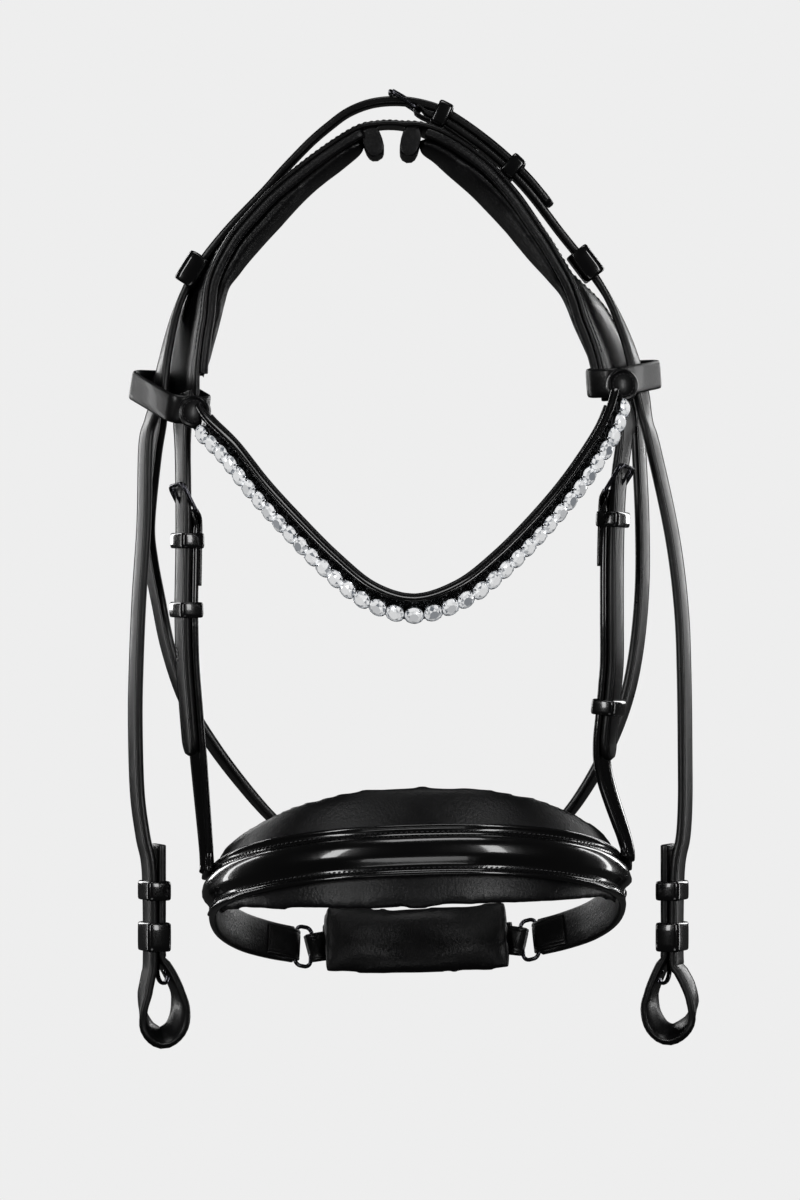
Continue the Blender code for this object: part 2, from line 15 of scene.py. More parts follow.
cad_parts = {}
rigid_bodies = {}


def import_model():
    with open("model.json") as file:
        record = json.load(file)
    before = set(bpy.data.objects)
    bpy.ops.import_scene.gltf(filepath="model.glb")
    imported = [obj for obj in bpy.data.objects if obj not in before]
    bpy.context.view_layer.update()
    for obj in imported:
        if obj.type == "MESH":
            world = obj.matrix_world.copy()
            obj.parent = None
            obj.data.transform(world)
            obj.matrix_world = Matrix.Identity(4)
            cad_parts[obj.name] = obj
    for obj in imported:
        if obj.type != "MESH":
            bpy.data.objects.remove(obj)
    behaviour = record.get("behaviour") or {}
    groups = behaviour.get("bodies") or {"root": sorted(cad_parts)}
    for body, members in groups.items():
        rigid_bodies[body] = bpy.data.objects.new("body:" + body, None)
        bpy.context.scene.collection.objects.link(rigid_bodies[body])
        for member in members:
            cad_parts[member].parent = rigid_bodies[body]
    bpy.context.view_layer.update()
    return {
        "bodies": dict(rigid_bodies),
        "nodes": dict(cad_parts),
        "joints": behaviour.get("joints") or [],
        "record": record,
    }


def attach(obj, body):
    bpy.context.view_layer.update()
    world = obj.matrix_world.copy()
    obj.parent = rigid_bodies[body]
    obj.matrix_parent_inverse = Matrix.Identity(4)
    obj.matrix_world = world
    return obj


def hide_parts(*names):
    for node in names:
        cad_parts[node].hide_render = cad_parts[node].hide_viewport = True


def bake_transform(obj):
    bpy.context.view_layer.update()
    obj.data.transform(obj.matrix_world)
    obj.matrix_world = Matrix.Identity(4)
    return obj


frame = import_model()

# Studio: a pale room with two tall softboxes in front, a low one between them, a strip at each side, one
# overhead and two behind. The camera stands level with the forehead, square to the horse's face. The floor is
# white paper that only the camera sees, so that it throws no light up into the black leather.
MM = 0.001
AIM = Vector((-8.8, 0, -247)) * MM
DISTANCE = 2200 * MM
VIEW_HEIGHT = 624 * MM
SENSOR = 36
scene = bpy.context.scene
camera = bpy.data.objects.new("camera", bpy.data.cameras.new("camera"))
camera.data.sensor_width = SENSOR
camera.data.lens = SENSOR * DISTANCE / VIEW_HEIGHT
camera.location = AIM - Vector((0, DISTANCE, 0))
camera.rotation_euler = (math.pi / 2, 0, 0)
scene.collection.objects.link(camera)
scene.camera = camera
scene.view_settings.view_transform = "Standard"


def linear(hex_colour):
    """An sRGB hex colour as the linear colour that Blender works in."""
    srgb = [int(hex_colour[i : i + 2], 16) / 255 for i in (0, 2, 4)]
    return (*(c / 12.92 if c <= 0.04045 else ((c + 0.055) / 1.055) ** 2.4 for c in srgb), 1)


def node(tree, kind, values=(), **settings):
    """Adds a shader node: settings are its own fields, and values are its inputs or what is linked to them."""
    made = tree.nodes.new("ShaderNode" + kind)
    for key, value in settings.items():
        setattr(made, key, value)
    for key, value in dict(values).items():
        if isinstance(value, bpy.types.NodeSocket):
            tree.links.new(value, made.inputs[key])
        else:
            made.inputs[key].default_value = value
    return made


def material(name, values):
    """A material, its node tree and its shader, with the values given for the shader's own sockets."""
    made = bpy.data.materials.new(name)
    made.use_nodes = True
    shader = made.node_tree.nodes["Principled BSDF"]
    for key, value in values.items():
        shader.inputs[key].default_value = value
    return made, made.node_tree, shader


world = bpy.data.worlds.new("studio")
world.use_nodes = True
room = world.node_tree
room.nodes.clear()
seen = node(room, "Background", {"Color": linear("EEEEEE"), "Strength": 1.0})
felt = node(room, "Background", {"Color": linear("EEEEEE"), "Strength": 0.03})
ray = node(room, "LightPath")
both = node(room, "MixShader", {0: ray.outputs["Is Camera Ray"], 1: felt.outputs[0], 2: seen.outputs[0]})
node(room, "OutputWorld", {"Surface": both.outputs[0]})
scene.world = world

LIGHTS = {
    "softbox_left": ((-1.25, -1.75, 0.25), (0.3, 1.3), 10),
    "softbox_right": ((1.15, -1.85, 0.3), (0.34, 1.3), 10),
    "strip_left": ((-1.7, 0.75, -0.1), (0.2, 1.7), 7),
    "strip_right": ((1.7, 0.8, -0.1), (0.2, 1.7), 7),
    "overhead": ((0.1, -0.35, 1.5), (1.0, 0.5), 5),
    "low_front": ((0.0, -1.7, -1.35), (1.2, 0.3), 2),
    "back_left": ((-1.3, 1.8, 0.4), (0.4, 1.4), 9),
    "back_right": ((1.3, 1.8, 0.4), (0.4, 1.4), 9),
}
for name, (spot, size, power) in LIGHTS.items():
    lamp = bpy.data.objects.new(name, bpy.data.lights.new(name, "AREA"))
    lamp.data.shape = "RECTANGLE"
    lamp.data.size, lamp.data.size_y = size
    lamp.data.energy = power
    lamp.location = spot
    lamp.rotation_euler = (Vector(spot) - AIM).to_track_quat("Z", "Y").to_euler()
    scene.collection.objects.link(lamp)

FLOOR_Z = -1.3
FLOOR_R = 4
bm = bmesh.new()
bmesh.ops.create_circle(bm, cap_ends=True, segments=96, radius=FLOOR_R)
bmesh.ops.translate(bm, verts=bm.verts, vec=(0, 0, FLOOR_Z))
floor_mesh = bpy.data.meshes.new("floor")
bm.to_mesh(floor_mesh)
bm.free()
floor = bpy.data.objects.new("floor", floor_mesh)
scene.collection.objects.link(floor)
paper = material("studio_paper", {
    "Base Color": linear("202020"), "Roughness": 0.9,
    "Emission Color": linear("E4E4E4"), "Emission Strength": 1.0,
})[0]
floor.visible_diffuse = floor.visible_glossy = False
floor_mesh.materials.append(paper)

# Leathers: drum-dyed black bridle leather, finished smooth and waxed; patent, with a poured lacquer coat that
# ripples a little; and the softer pebbled leather that covers the padding. The grain is coarse enough to show.


def leather(name, hex_colour, roughness, pebble, depth, coat=0.0, ripple=0.0, worn="2A2A2B"):
    """Black leather. pebble is the size of the grain and depth its relief, both in metres."""
    made, tree, shader = material(name, {"Coat Weight": coat, "Coat Roughness": 0.06})
    spots = node(tree, "TexCoord").outputs["Object"]
    grain = node(tree, "TexVoronoi", {"Vector": spots, "Scale": 1 / pebble}, feature="SMOOTH_F1")
    fine = node(tree, "TexNoise", {"Vector": spots, "Scale": 2.5 / pebble, "Detail": 3.0})
    slow = node(tree, "TexNoise", {"Vector": spots, "Scale": 45.0, "Detail": 2.0})
    relief = node(tree, "Math", {0: grain.outputs["Distance"], 1: fine.outputs["Fac"]}, operation="ADD")
    bump = node(tree, "Bump", {"Height": relief.outputs[0], "Distance": depth, "Strength": 0.8})
    if ripple:
        bump = node(tree, "Bump", {
            "Height": slow.outputs["Fac"], "Distance": ripple, "Strength": 0.6, "Normal": bump.outputs[0],
        })
    colours = {"Factor": slow.outputs["Fac"], 6: linear(hex_colour), 7: linear(worn)}
    tone = node(tree, "Mix", colours, data_type="RGBA")
    rough = node(tree, "MapRange", {
        "Value": slow.outputs["Fac"], "From Min": 0.3, "From Max": 0.7,
        "To Min": roughness * 0.85, "To Max": roughness * 1.2,
    })
    tree.links.new(tone.outputs[2], shader.inputs["Base Color"])
    tree.links.new(rough.outputs[0], shader.inputs["Roughness"])
    tree.links.new(bump.outputs[0], shader.inputs["Normal"])
    return made


BRIDLE = leather("waxed_bridle_leather", "070708", 0.32, 0.9 * MM, 0.05 * MM, coat=0.1, worn="0E0E0F")
PATENT = leather("patent_leather", "040405", 0.2, 2.5 * MM, 0.02 * MM, coat=1.0, ripple=0.25 * MM, worn="070708")
PADDED = leather("pebbled_padding_leather", "08080A", 0.36, 1.3 * MM, 0.14 * MM, coat=0.0, worn="101012")

# Waxed thread: twisted black polyester, a little paler than the leather it lies on.
THREAD, tree, shader = material("waxed_black_thread", {"Base Color": linear("2E2E30"), "Roughness": 0.42})
spots = node(tree, "TexCoord").outputs["Object"]
twist = node(tree, "TexWave", {"Vector": spots, "Scale": 900.0, "Distortion": 1.0})
lift = node(tree, "Bump", {"Height": twist.outputs["Fac"], "Distance": 0.06 * MM})
tree.links.new(lift.outputs[0], shader.inputs["Normal"])


def plated(name, hex_colour, low, high, scale, detail):
    """Polished plating, with faint marks that change its roughness from low to high."""
    made, tree, shader = material(name, {"Base Color": linear(hex_colour), "Metallic": 1.0})
    spots = node(tree, "TexCoord").outputs["Object"]
    marks = node(tree, "TexNoise", {"Vector": spots, "Scale": scale, "Detail": detail})
    polish = node(tree, "MapRange", {"Value": marks.outputs["Fac"], "To Min": low, "To Max": high})
    tree.links.new(polish.outputs[0], shader.inputs["Roughness"])
    return made


# Black nickel: plated and polished steel wire, dark, with faint polishing marks.
STEEL = plated("black_nickel_plate", "5A5A60", 0.12, 0.3, 700.0, 4.0)


def place(*rows):
    return [Vector(row) * MM for row in rows]


def directions(*rows):
    return [Vector(row).normalized() for row in rows]


class Route:
    """A smooth line through chosen points, and the way that the face of the strap on it looks."""

    def __init__(self, points, faces, steps=6):
        ends = [points[0] * 2 - points[1], *points, points[-1] * 2 - points[-2]]
        sides = [faces[0], *faces, faces[-1]]
        self.spots, hints = [], []
        for k in range(1, len(ends) - 2):
            p = ends[k - 1 : k + 3]
            for i in range(steps):
                f = i / steps
                bend = (2 * p[0] - 5 * p[1] + 4 * p[2] - p[3]) * f**2 + (3 * p[1] - p[0] - 3 * p[2] + p[3]) * f**3
                self.spots.append(0.5 * (2 * p[1] + (p[2] - p[0]) * f + bend))
                hints.append(sides[k].lerp(sides[k + 1], f))
        self.spots.append(ends[-2])
        hints.append(sides[-1])
        last = len(self.spots) - 1
        self.frames, self.marks = [], [0.0]
        for i, spot in enumerate(self.spots):
            along = (self.spots[min(i + 1, last)] - self.spots[max(i - 1, 0)]).normalized()
            face = (hints[i] - along * hints[i].dot(along)).normalized()
            self.frames.append((spot, along, face))
            if i:
                self.marks.append(self.marks[-1] + (spot - self.spots[i - 1]).length)
        self.length = self.marks[-1]

    def at(self, mark, lift=0.0, side=0.0):
        """The place, direction and face at a distance along the line, raised or moved across if asked."""
        mark = min(max(mark, 0.0), self.length)
        i = min(bisect_right(self.marks, mark) - 1, len(self.marks) - 2)
        f = (mark - self.marks[i]) / (self.marks[i + 1] - self.marks[i])
        a, b = self.frames[i], self.frames[i + 1]
        along = a[1].lerp(b[1], f).normalized()
        face = a[2].lerp(b[2], f)
        face = (face - along * face.dot(along)).normalized()
        return a[0].lerp(b[0], f) + face * lift + face.cross(along) * side, along, face

    def crossing(self, axis, value):
        """How far along the line a coordinate first passes a value in millimetres."""
        level = value * MM
        for i in range(len(self.spots) - 1):
            a, b = self.spots[i][axis], self.spots[i + 1][axis]
            if (a - level) * (b - level) <= 0 and a != b:
                return self.marks[i] + (self.marks[i + 1] - self.marks[i]) * (level - a) / (b - a)
        raise ValueError(f"the route never passes {value}")


# Cross-sections of a strap, from one edge over the face to the other edge and back underneath. The first
# number is in half widths and the second in half thicknesses: a crease runs inside each burnished edge.


def mirrored(half):
    return half + [(-u, h) for u, h in reversed(half)]


BACK = mirrored([(0.99, -0.5), (0.94, -0.85), (0.84, -1.0), (0.3, -1.0)])
PLAIN = mirrored([
    (-1.0, 0.0), (-0.985, 0.5), (-0.93, 0.85), (-0.84, 0.98), (-0.79, 0.94), (-0.76, 0.76), (-0.72, 0.94),
    (-0.55, 1.0), (-0.2, 1.05),
]) + BACK
RAISED = mirrored([
    (-1.0, 0.0), (-0.985, 0.5), (-0.93, 0.85), (-0.84, 0.95), (-0.7, 0.9), (-0.62, 1.1), (-0.5, 1.75),
    (-0.3, 2.1), (-0.1, 2.2),
]) + BACK
EDGE_ROUND = 0.7 * MM


def joined(bm, part):
    """Adds one mesh in the making to another."""
    carrier = bpy.data.meshes.new("carrier")
    part.to_mesh(carrier)
    part.free()
    bm.from_mesh(carrier)
    bpy.data.meshes.remove(carrier)


def swept(bm, route, start, end, outline, wide, thick, lift=0.0, side=0.0, pitch=2.5 * MM, tip=0.0):
    """Draws a cross-section along a stretch of a route. Sizes may be functions of the distance along it.
    A tip rounds the far end of the strap off over that length."""
    wide, thick, lift = (v if callable(v) else (lambda mark, v=v: v) for v in (wide, thick, lift))
    near, far = EDGE_ROUND, max(tip, EDGE_ROUND)
    count = max(2, round((end - start - near - far) / pitch))
    inner = [start + near + (end - far - start - near) * i / count for i in range(count + 1)]
    lead = [start + near * f for f in (0, 0.12, 0.4)]
    tail = [end - far * f for f in ((0.4, 0.12, 0) if not tip else (0.85, 0.7, 0.55, 0.4, 0.26, 0.14, 0.05, 0))]
    stations = lead + inner + tail
    n = len(outline)
    part = bmesh.new()
    bmesh.ops.create_cone(part, cap_ends=True, segments=n, radius1=1, radius2=1, depth=1)
    sides = [e for e in part.edges if abs(e.verts[0].co.z - e.verts[1].co.z) > 0.5]
    bmesh.ops.subdivide_edges(part, edges=sides, cuts=len(stations) - 2)
    last = len(stations) - 1
    rows = []
    for mark in stations:
        spot, along, face = route.at(mark, lift(mark), side)
        a, b = min(1.0, (mark - start) / near), min(1.0, (end - mark) / far)
        edge = min(math.sqrt(1 - (1 - a) ** 2) * 0.5 + 0.5, 1)
        slim = math.sqrt(max(0.0, 1 - (1 - b) ** 2)) if tip else math.sqrt(1 - (1 - b) ** 2) * 0.1 + 0.9
        flat = edge * (1.0 if tip and b > 0.1 else math.sqrt(1 - (1 - b) ** 2) * 0.5 + 0.5)
        rows.append((spot, face.cross(along) * (wide(mark) / 2 * max(slim, 0.06)), face * (thick(mark) / 2 * flat)))
    for v in part.verts:
        k = round(math.atan2(v.co.x, v.co.y) / math.tau * n) % n
        spot, across, up = rows[round((v.co.z + 0.5) * last)]
        v.co = spot + across * outline[k][0] + up * outline[k][1]
    joined(bm, part)


def turned(spot, along, face):
    """The matrix of a small part set on a strap: its X runs along the strap, and its Z out of the face."""
    return Matrix.Translation(spot) @ Matrix((along, face.cross(along), face)).transposed().to_4x4()


THREAD_T = 0.75 * MM
STITCH = 3.2 * MM
SLANT = math.radians(9)


def stitched(bm, route, start, end, side, lift, pitch=STITCH):
    """A row of saddle stitches, each a short thread lying a little slantwise in its two holes."""
    count = max(1, round((end - start) / pitch))
    height = lift if callable(lift) else (lambda mark: lift)
    size = Matrix.Diagonal((pitch * 0.39, THREAD_T / 2, THREAD_T / 2, 1))
    row = bmesh.new()
    for i in range(count):
        mark = start + (end - start) * (i + 0.5) / count
        spot, along, face = route.at(mark, height(mark), side)
        slant = Matrix.Rotation(SLANT, 4, "Z")
        bmesh.ops.create_icosphere(row, subdivisions=1, radius=1, matrix=turned(spot, along, face) @ slant @ size)
    for face in row.faces:
        face.material_index = 1
    joined(bm, row)


def finished(name, bm, *finishes, smooth=50):
    """Makes a piece of a mesh: smooth except over edges sharper than the angle."""
    bmesh.ops.recalc_face_normals(bm, faces=bm.faces)
    mesh = bpy.data.meshes.new(name)
    bm.to_mesh(mesh)
    bm.free()
    for finish in finishes:
        mesh.materials.append(finish)
    mesh.polygons.foreach_set("use_smooth", [True] * len(mesh.polygons))
    mesh.set_sharp_from_angle(angle=math.radians(smooth))
    piece = bpy.data.objects.new(name, mesh)
    scene.collection.objects.link(piece)
    return piece


def rode(piece, body, slot, *nodes):
    """The piece moves with one body and stands for its nodes."""
    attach(piece, body)
    if nodes:
        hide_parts(*nodes)
    return piece


def hung(piece, body, slot, *nodes):
    """The piece is held by the browband loops. It is baked in place and attached to no body, and its nodes are hidden.
    """
    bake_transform(piece)
    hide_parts(*nodes)
    return piece


def ring(bm, frame, inside, section, corner, lift=0.0, segments=6):
    """A rounded rectangular ring: a cross-section spun round a corner, and the four corners moved apart."""
    spot, along, face = frame
    steps = 4 * segments
    part = bmesh.new()
    loop = [part.verts.new((corner + out, 0, up)) for out, up in section]
    edges = [part.edges.new((a, b)) for a, b in zip(loop, loop[1:] + loop[:1])]
    bmesh.ops.rotate(part, verts=loop, cent=(0, 0, 0), matrix=Matrix.Rotation(math.pi / steps, 3, "Z"))
    bmesh.ops.spin(
        part, geom=loop + edges, cent=(0, 0, 0), axis=(0, 0, 1), angle=math.tau, steps=steps, use_merge=True
    )
    for v in part.verts:
        v.co.x += math.copysign(inside[0] / 2 - corner, v.co.x)
        v.co.y += math.copysign(inside[1] / 2 - corner, v.co.y)
    turn = Matrix((face.cross(along), face, along)).transposed().to_4x4()
    part.transform(Matrix.Translation(spot + face * lift) @ turn)
    joined(bm, part)


def wire(thick, sides=12):
    """The round cross-section of a rod."""
    turns = [math.tau * i / sides for i in range(sides)]
    return [(thick / 2 + thick / 2 * math.cos(t), thick / 2 * math.sin(t)) for t in turns]


def loop_wall(wall, length):
    """The cross-section of a leather loop: flat inside, domed outside, with rounded edges."""
    half = length / 2
    return [
        (0, -half + 0.3 * wall), (0, 0), (0, half - 0.3 * wall), (0.3 * wall, half), (0.75 * wall, half - 0.15 * wall),
        (0.95 * wall, half - 0.6 * wall), (wall, half * 0.45), (wall, -half * 0.45),
        (0.95 * wall, -half + 0.6 * wall), (0.75 * wall, -half + 0.15 * wall), (0.3 * wall, -half),
    ]


STRAP_T = 4.0 * MM
KEEPER_T = 1.8 * MM
LAYER_GAP = 0.3 * MM
KEEPER_L = 8 * MM
KEEPER_PLAY = 0.5 * MM
RUNNER_PLAY = 0.8 * MM
ROD = 2.2 * MM
FRAME_L = 13 * MM
SIDE_PLAY = 0.6 * MM
FOLD_T = 1.5 * MM
FOLD_BACK = 34 * MM
OVAL = [(math.sin(t), math.cos(t)) for t in (math.tau * i / 12 for i in range(12))]


def buckled(name, route, width, buckle, keeper, runner, chape, body, play=KEEPER_PLAY):
    """The buckle of two straps: a wire frame with its tongue, a fixed and a running keeper, and the mesh of
    the strap that is folded round the frame's bar, sewn to its own back, and runs on to its chape's end."""
    layer = STRAP_T + LAYER_GAP
    half = (FRAME_L + ROD) / 2
    rise = (STRAP_T + ROD) / 2 + 3 * LAYER_GAP
    lean = math.atan2(rise, half)
    arm = math.hypot(rise, half)
    spot, along, face = route.at(buckle)
    down = along * math.cos(lean) - face * math.sin(lean)
    out = along * math.sin(lean) + face * math.cos(lean)
    centre = spot + face * layer
    bm = bmesh.new()
    hole = (width + 2 * SIDE_PLAY, 2 * arm - ROD)
    ring(bm, (centre, out, down), hole, wire(ROD), corner=2.2 * MM)
    rode(finished(name + "_buckle_frame", bm, STEEL), body, "buckle_metal", name + "_buckle")

    bar = centre + down * arm
    collar, pin = 1.7 * MM, 2 * arm - 0.2 * MM
    bm = bmesh.new()
    bmesh.ops.create_cone(
        bm, segments=16, radius1=collar, radius2=collar, depth=2.4 * MM, cap_ends=True,
        matrix=Matrix.Translation(bar) @ Matrix((down, out, down.cross(out))).transposed().to_4x4(),
    )
    line = Route([bar + out * 1.3 * MM, bar - down * arm + out * 2.1 * MM, bar - down * pin + out * 1.9 * MM], [out] * 3)
    swept(bm, line, 0, line.length, OVAL, lambda m: (2.3 - 0.6 * m / line.length) * MM,
          lambda m: (1.9 - 0.5 * m / line.length) * MM, tip=1.2 * MM)
    rode(finished(name + "_buckle_tongue", bm, STEEL), name + "_tongue", "buckle_metal", name + "_tongue")

    room = (width + 2 * play, 2 * STRAP_T + LAYER_GAP + 2 * play)
    for kind, mark, rider in (("fixed", keeper, body), ("running", runner, name + "_running_keeper")):
        bm = bmesh.new()
        ring(bm, route.at(mark), room, loop_wall(KEEPER_T, KEEPER_L), corner=1.0 * MM, lift=layer / 2)
        made = finished(f"{name}_{kind}_loop", bm, PATENT)
        rode(made, rider, "patent_leather", f"{name}_{kind}_keeper")

    # The chape: skived thin, it turns round the bar and comes back under the strap to its sewn end.
    near = buckle + half + ROD / 2 + 5 * LAYER_GAP
    under = -(STRAP_T + FOLD_T) / 2
    reach = ROD / 2 + FOLD_T / 2 + 0.1 * MM
    turn = [
        (bar - out * reach, -out), (bar - (down * 0.7 + out * 0.7) * reach, -(down * 0.7 + out * 0.7)),
        (bar - down * reach, -down), (bar + (out * 0.7 - down * 0.7) * reach, out * 0.7 - down * 0.7),
        (bar + out * reach, out),
    ]
    folds = (FOLD_BACK, FOLD_BACK * 0.66, FOLD_BACK * 0.33, 1 * MM)
    back = [(route.at(near + m, under)[0], -route.at(near + m)[2]) for m in folds]
    marks, mark = [near + 2.5 * MM, near + 6 * MM], near + 14 * MM
    while mark < chape - 6 * MM:
        marks.append(mark)
        mark += 10 * MM
    rows = back + turn + [route.at(m)[::2] for m in (*marks, chape)]
    line = Route([r[0] for r in rows], [r[1] for r in rows], steps=4)
    swap = next(m for m, s in zip(line.marks, line.spots) if (s - route.at(marks[0])[0]).length < 0.2 * MM)
    bm = bmesh.new()

    def thick(m):
        f = min(max((m - swap + 4 * MM) / (6 * MM), 0), 1)
        return FOLD_T + (STRAP_T - FOLD_T) * f

    swept(bm, line, 0, line.length, PLAIN, width, thick, pitch=2 * MM)
    for side in (-1, 1):
        for height in (STRAP_T / 2, under - FOLD_T / 2):
            stitched(bm, route, near + 5 * MM, near + FOLD_BACK - 3 * MM, side * (width / 2 - 2.6 * MM), height)
    return bm


# The two cheek straps. Each starts over the poll, comes down through its head loop and browband loop, goes
# round the bit's ring, and hooks to itself. They are one length of bridle leather, creased along both edges.
LOOPS = {"left": Vector((-128.5, -2, -141.5)) * MM, "right": Vector((109, -2, -132)) * MM}
UP = Vector((0, 0, 1))


def by_loop(side, *rows):
    return [LOOPS[side] + Vector(row) * MM for row in rows]


CHEEK_W = 14.5 * MM
FACE_TURN = math.radians(23)
DOUBLED = STRAP_T + 2 * LAYER_GAP
LAYER = STRAP_T + LAYER_GAP
OVER_POLL = [
    *by_loop("left", (-6, 6, -1.5), (-3, 6, 18.5)),
    *place(
        (-125, 3, -96.5), (-115, 2, -76), (-99, 0, -55.5), (-79.5, 0, -35), (-60, 0, -14), (-36.5, 0, 2),
        (-22.5, 0, 7), (-8, 0, 8), (9, 0, 4.5), (25.5, 0, -5.5), (42, 0, -18.5), (58, 0, -34.5),
        (75.5, 2, -57), (90, 3, -75), (101.5, 3, -93.5),
    ),
    *by_loop("right", (2, 6, 15), (8.5, 6, -11)),
]
OVER_POLL_FACES = directions(
    (-0.85, -0.5, 0), (-0.94, -0.3, 0.2), (-0.9, -0.1, 0.4), (-0.8, 0, 0.6), (-0.7, 0, 0.7),
    (-0.7, 0, 0.7), (-0.65, 0, 0.75), (-0.55, 0, 0.83), (-0.25, 0, 1), (0.1, 0, 1), (0.4, 0, 0.9),
    (0.6, 0, 0.8), (0.65, 0, 0.75), (0.75, 0, 0.65), (0.8, 0, 0.6), (0.82, 0, 0.55),
    (0.88, -0.1, 0.45), (0.93, -0.3, 0.25), (0.85, -0.5, 0),
)
over_poll = Route(OVER_POLL, OVER_POLL_FACES)
BIT_LOOPS = {
    "left": (
        (-1, -9), (-3, -19), (-3.8, -29), (-1, -37.5), (6.5, -42), (14, -37.5),
        (16.7, -29), (15.5, -19), (11, -9), (6.5, -2),
    ),
    "right": (
        (-2, -6), (-6.2, -13.5), (-9, -23), (-7, -33.5), (2.2, -40), (10, -37),
        (14.2, -28.5), (13.8, -19), (10, -9), (6.5, -2),
    ),
}
STUB = (2, 29.5, 59)
CHEEKS = {
    "left": place(
        (-142, 0, -207.5), (-144.5, 0, -245.5), (-146, 0, -280.5), (-146.5, 0, -309.5),
        (-145.5, 0, -346.5), (-142.5, 0, -370), (-139.3, 0, -388), (-138.7, 0, -433),
    ),
    "right": place(
        (132.5, 0, -212), (137.5, 0, -251), (139, 0, -287.5), (139.5, 0, -330),
        (139.5, 0, -352), (138.5, 0, -370), (135.5, 0, -388), (134.9, 0, -433),
    ),
}
CHEEK_TOPS = {
    "left": by_loop("left", (-9.5, 4, -11.5), (-12.5, 2, -24.5)),
    "right": by_loop("right", (10, 4, -21), (13.5, 2, -34)),
}
LOOP_MIDDLE = (6.5 * MM, -28 * MM)
LOOP_ROLL = 0.8
HOOK = [(-2.2, 5.5), (-3.9, 1.0), (-3.9, -8.0), (-5.5, -12.6), (-8.2, -13.4), (-9.6, -10.5), (-8.9, -7.6)]
BIT_KEEPERS = (("bit_fixed", 35 * MM, 10 * MM), ("bit_running", 11 * MM, 15 * MM))
poll_tail = over_poll.crossing(0, 63)
poll_rise = over_poll.crossing(0, -62)
poll_chape = buckled(
    "poll", over_poll, CHEEK_W, buckle=over_poll.crossing(0, -7), keeper=over_poll.crossing(0, 12),
    runner=over_poll.crossing(0, 48), chape=over_poll.length - 22 * MM, body="headpiece", play=RUNNER_PLAY,
)
for side, sign in (("left", -1), ("right", 1)):
    out = Vector((sign * math.cos(FACE_TURN), -math.sin(FACE_TURN), 0))
    foot = CHEEKS[side][-1]
    middle = foot - out * LOOP_MIDDLE[0] + UP * LOOP_MIDDLE[1]
    loop = [foot - out * q * MM + UP * h * MM for q, h in BIT_LOOPS[side]]
    stub = [foot - out * DOUBLED + UP * h * MM for h in STUB]
    down = CHEEK_TOPS[side] + CHEEKS[side]
    loop_faces = [
        (spot - middle).normalized() + Vector((0, LOOP_ROLL * max(0, -h - 20) / 22, 0))
        for spot, (q, h) in zip(loop, BIT_LOOPS[side])
    ]
    faces = [out] * len(down) + loop_faces + [-out] * len(stub)
    # What lies above the browband loop: the left strap runs on to its tail, and the right one to its chape.
    if side == "left":
        marks = [poll_tail * (1 - i / 26) for i in range(27)]
        lifts = [LAYER * min(1, max(0, m - poll_rise) / (40 * MM)) for m in marks]
    else:
        marks = [over_poll.length - (30 - 3 * i) * MM for i in range(0, 10, 3)]
        lifts = [0] * len(marks)
    above = [over_poll.at(m, lift) for m, lift in zip(marks, lifts)]
    line = Route([a[0] for a in above] + down + loop + stub, [a[2] for a in above] + faces, steps=5)
    bm = poll_chape if side == "right" else bmesh.new()
    swept(bm, line, 0, line.length, PLAIN, CHEEK_W, STRAP_T)
    if side == "left":
        swept(bm, over_poll, poll_tail - 3 * MM, poll_tail + 5.5 * MM, PLAIN, CHEEK_W, STRAP_T, lift=LAYER, tip=5 * MM)
    nodes = {"left": ("poll_billet", "cheekpiece_left"), "right": ("poll_strap", "cheekpiece_right")}[side]
    hung(finished("cheek_strap_" + side, bm, BRIDLE, THREAD), "cheekpiece_" + side, "bridle_leather", *nodes)

    # Bit keepers, and the hook stud that the strap's turned end fastens to.
    room = (CHEEK_W + 2 * KEEPER_PLAY, STRAP_T + DOUBLED + 2 * KEEPER_PLAY)
    for kind, height, length in BIT_KEEPERS:
        bm = bmesh.new()
        ring(bm, (foot - out * DOUBLED / 2 + UP * height, UP, out), room, loop_wall(KEEPER_T, length), corner=1 * MM)
        made = finished(f"{kind}_loop_{side}", bm, PATENT)
        rider = "cheekpiece_" + side if kind == "bit_fixed" else "bit_running_keeper_" + side
        rode(made, rider, "patent_leather", f"{kind}_keeper_{side}")
    spots = [foot + out * q * MM + UP * h * MM for q, h in HOOK]
    line = Route(spots, [out.cross(UP)] * len(spots), steps=5)
    bm = bmesh.new()
    swept(bm, line, 0, line.length, OVAL, 2.0 * MM, 5.5 * MM, pitch=1 * MM, tip=1.5 * MM)
    head = Matrix.Translation(spots[-1] + out * 0.3 * MM) @ Matrix.Diagonal((1.6 * MM, 3.4 * MM, 1.8 * MM, 1))
    bmesh.ops.create_uvsphere(bm, u_segments=16, v_segments=10, radius=1, matrix=head)
    rode(finished("hook_" + side, bm, STEEL), "cheekpiece_" + side, "buckle_metal", "hook_stud_" + side)

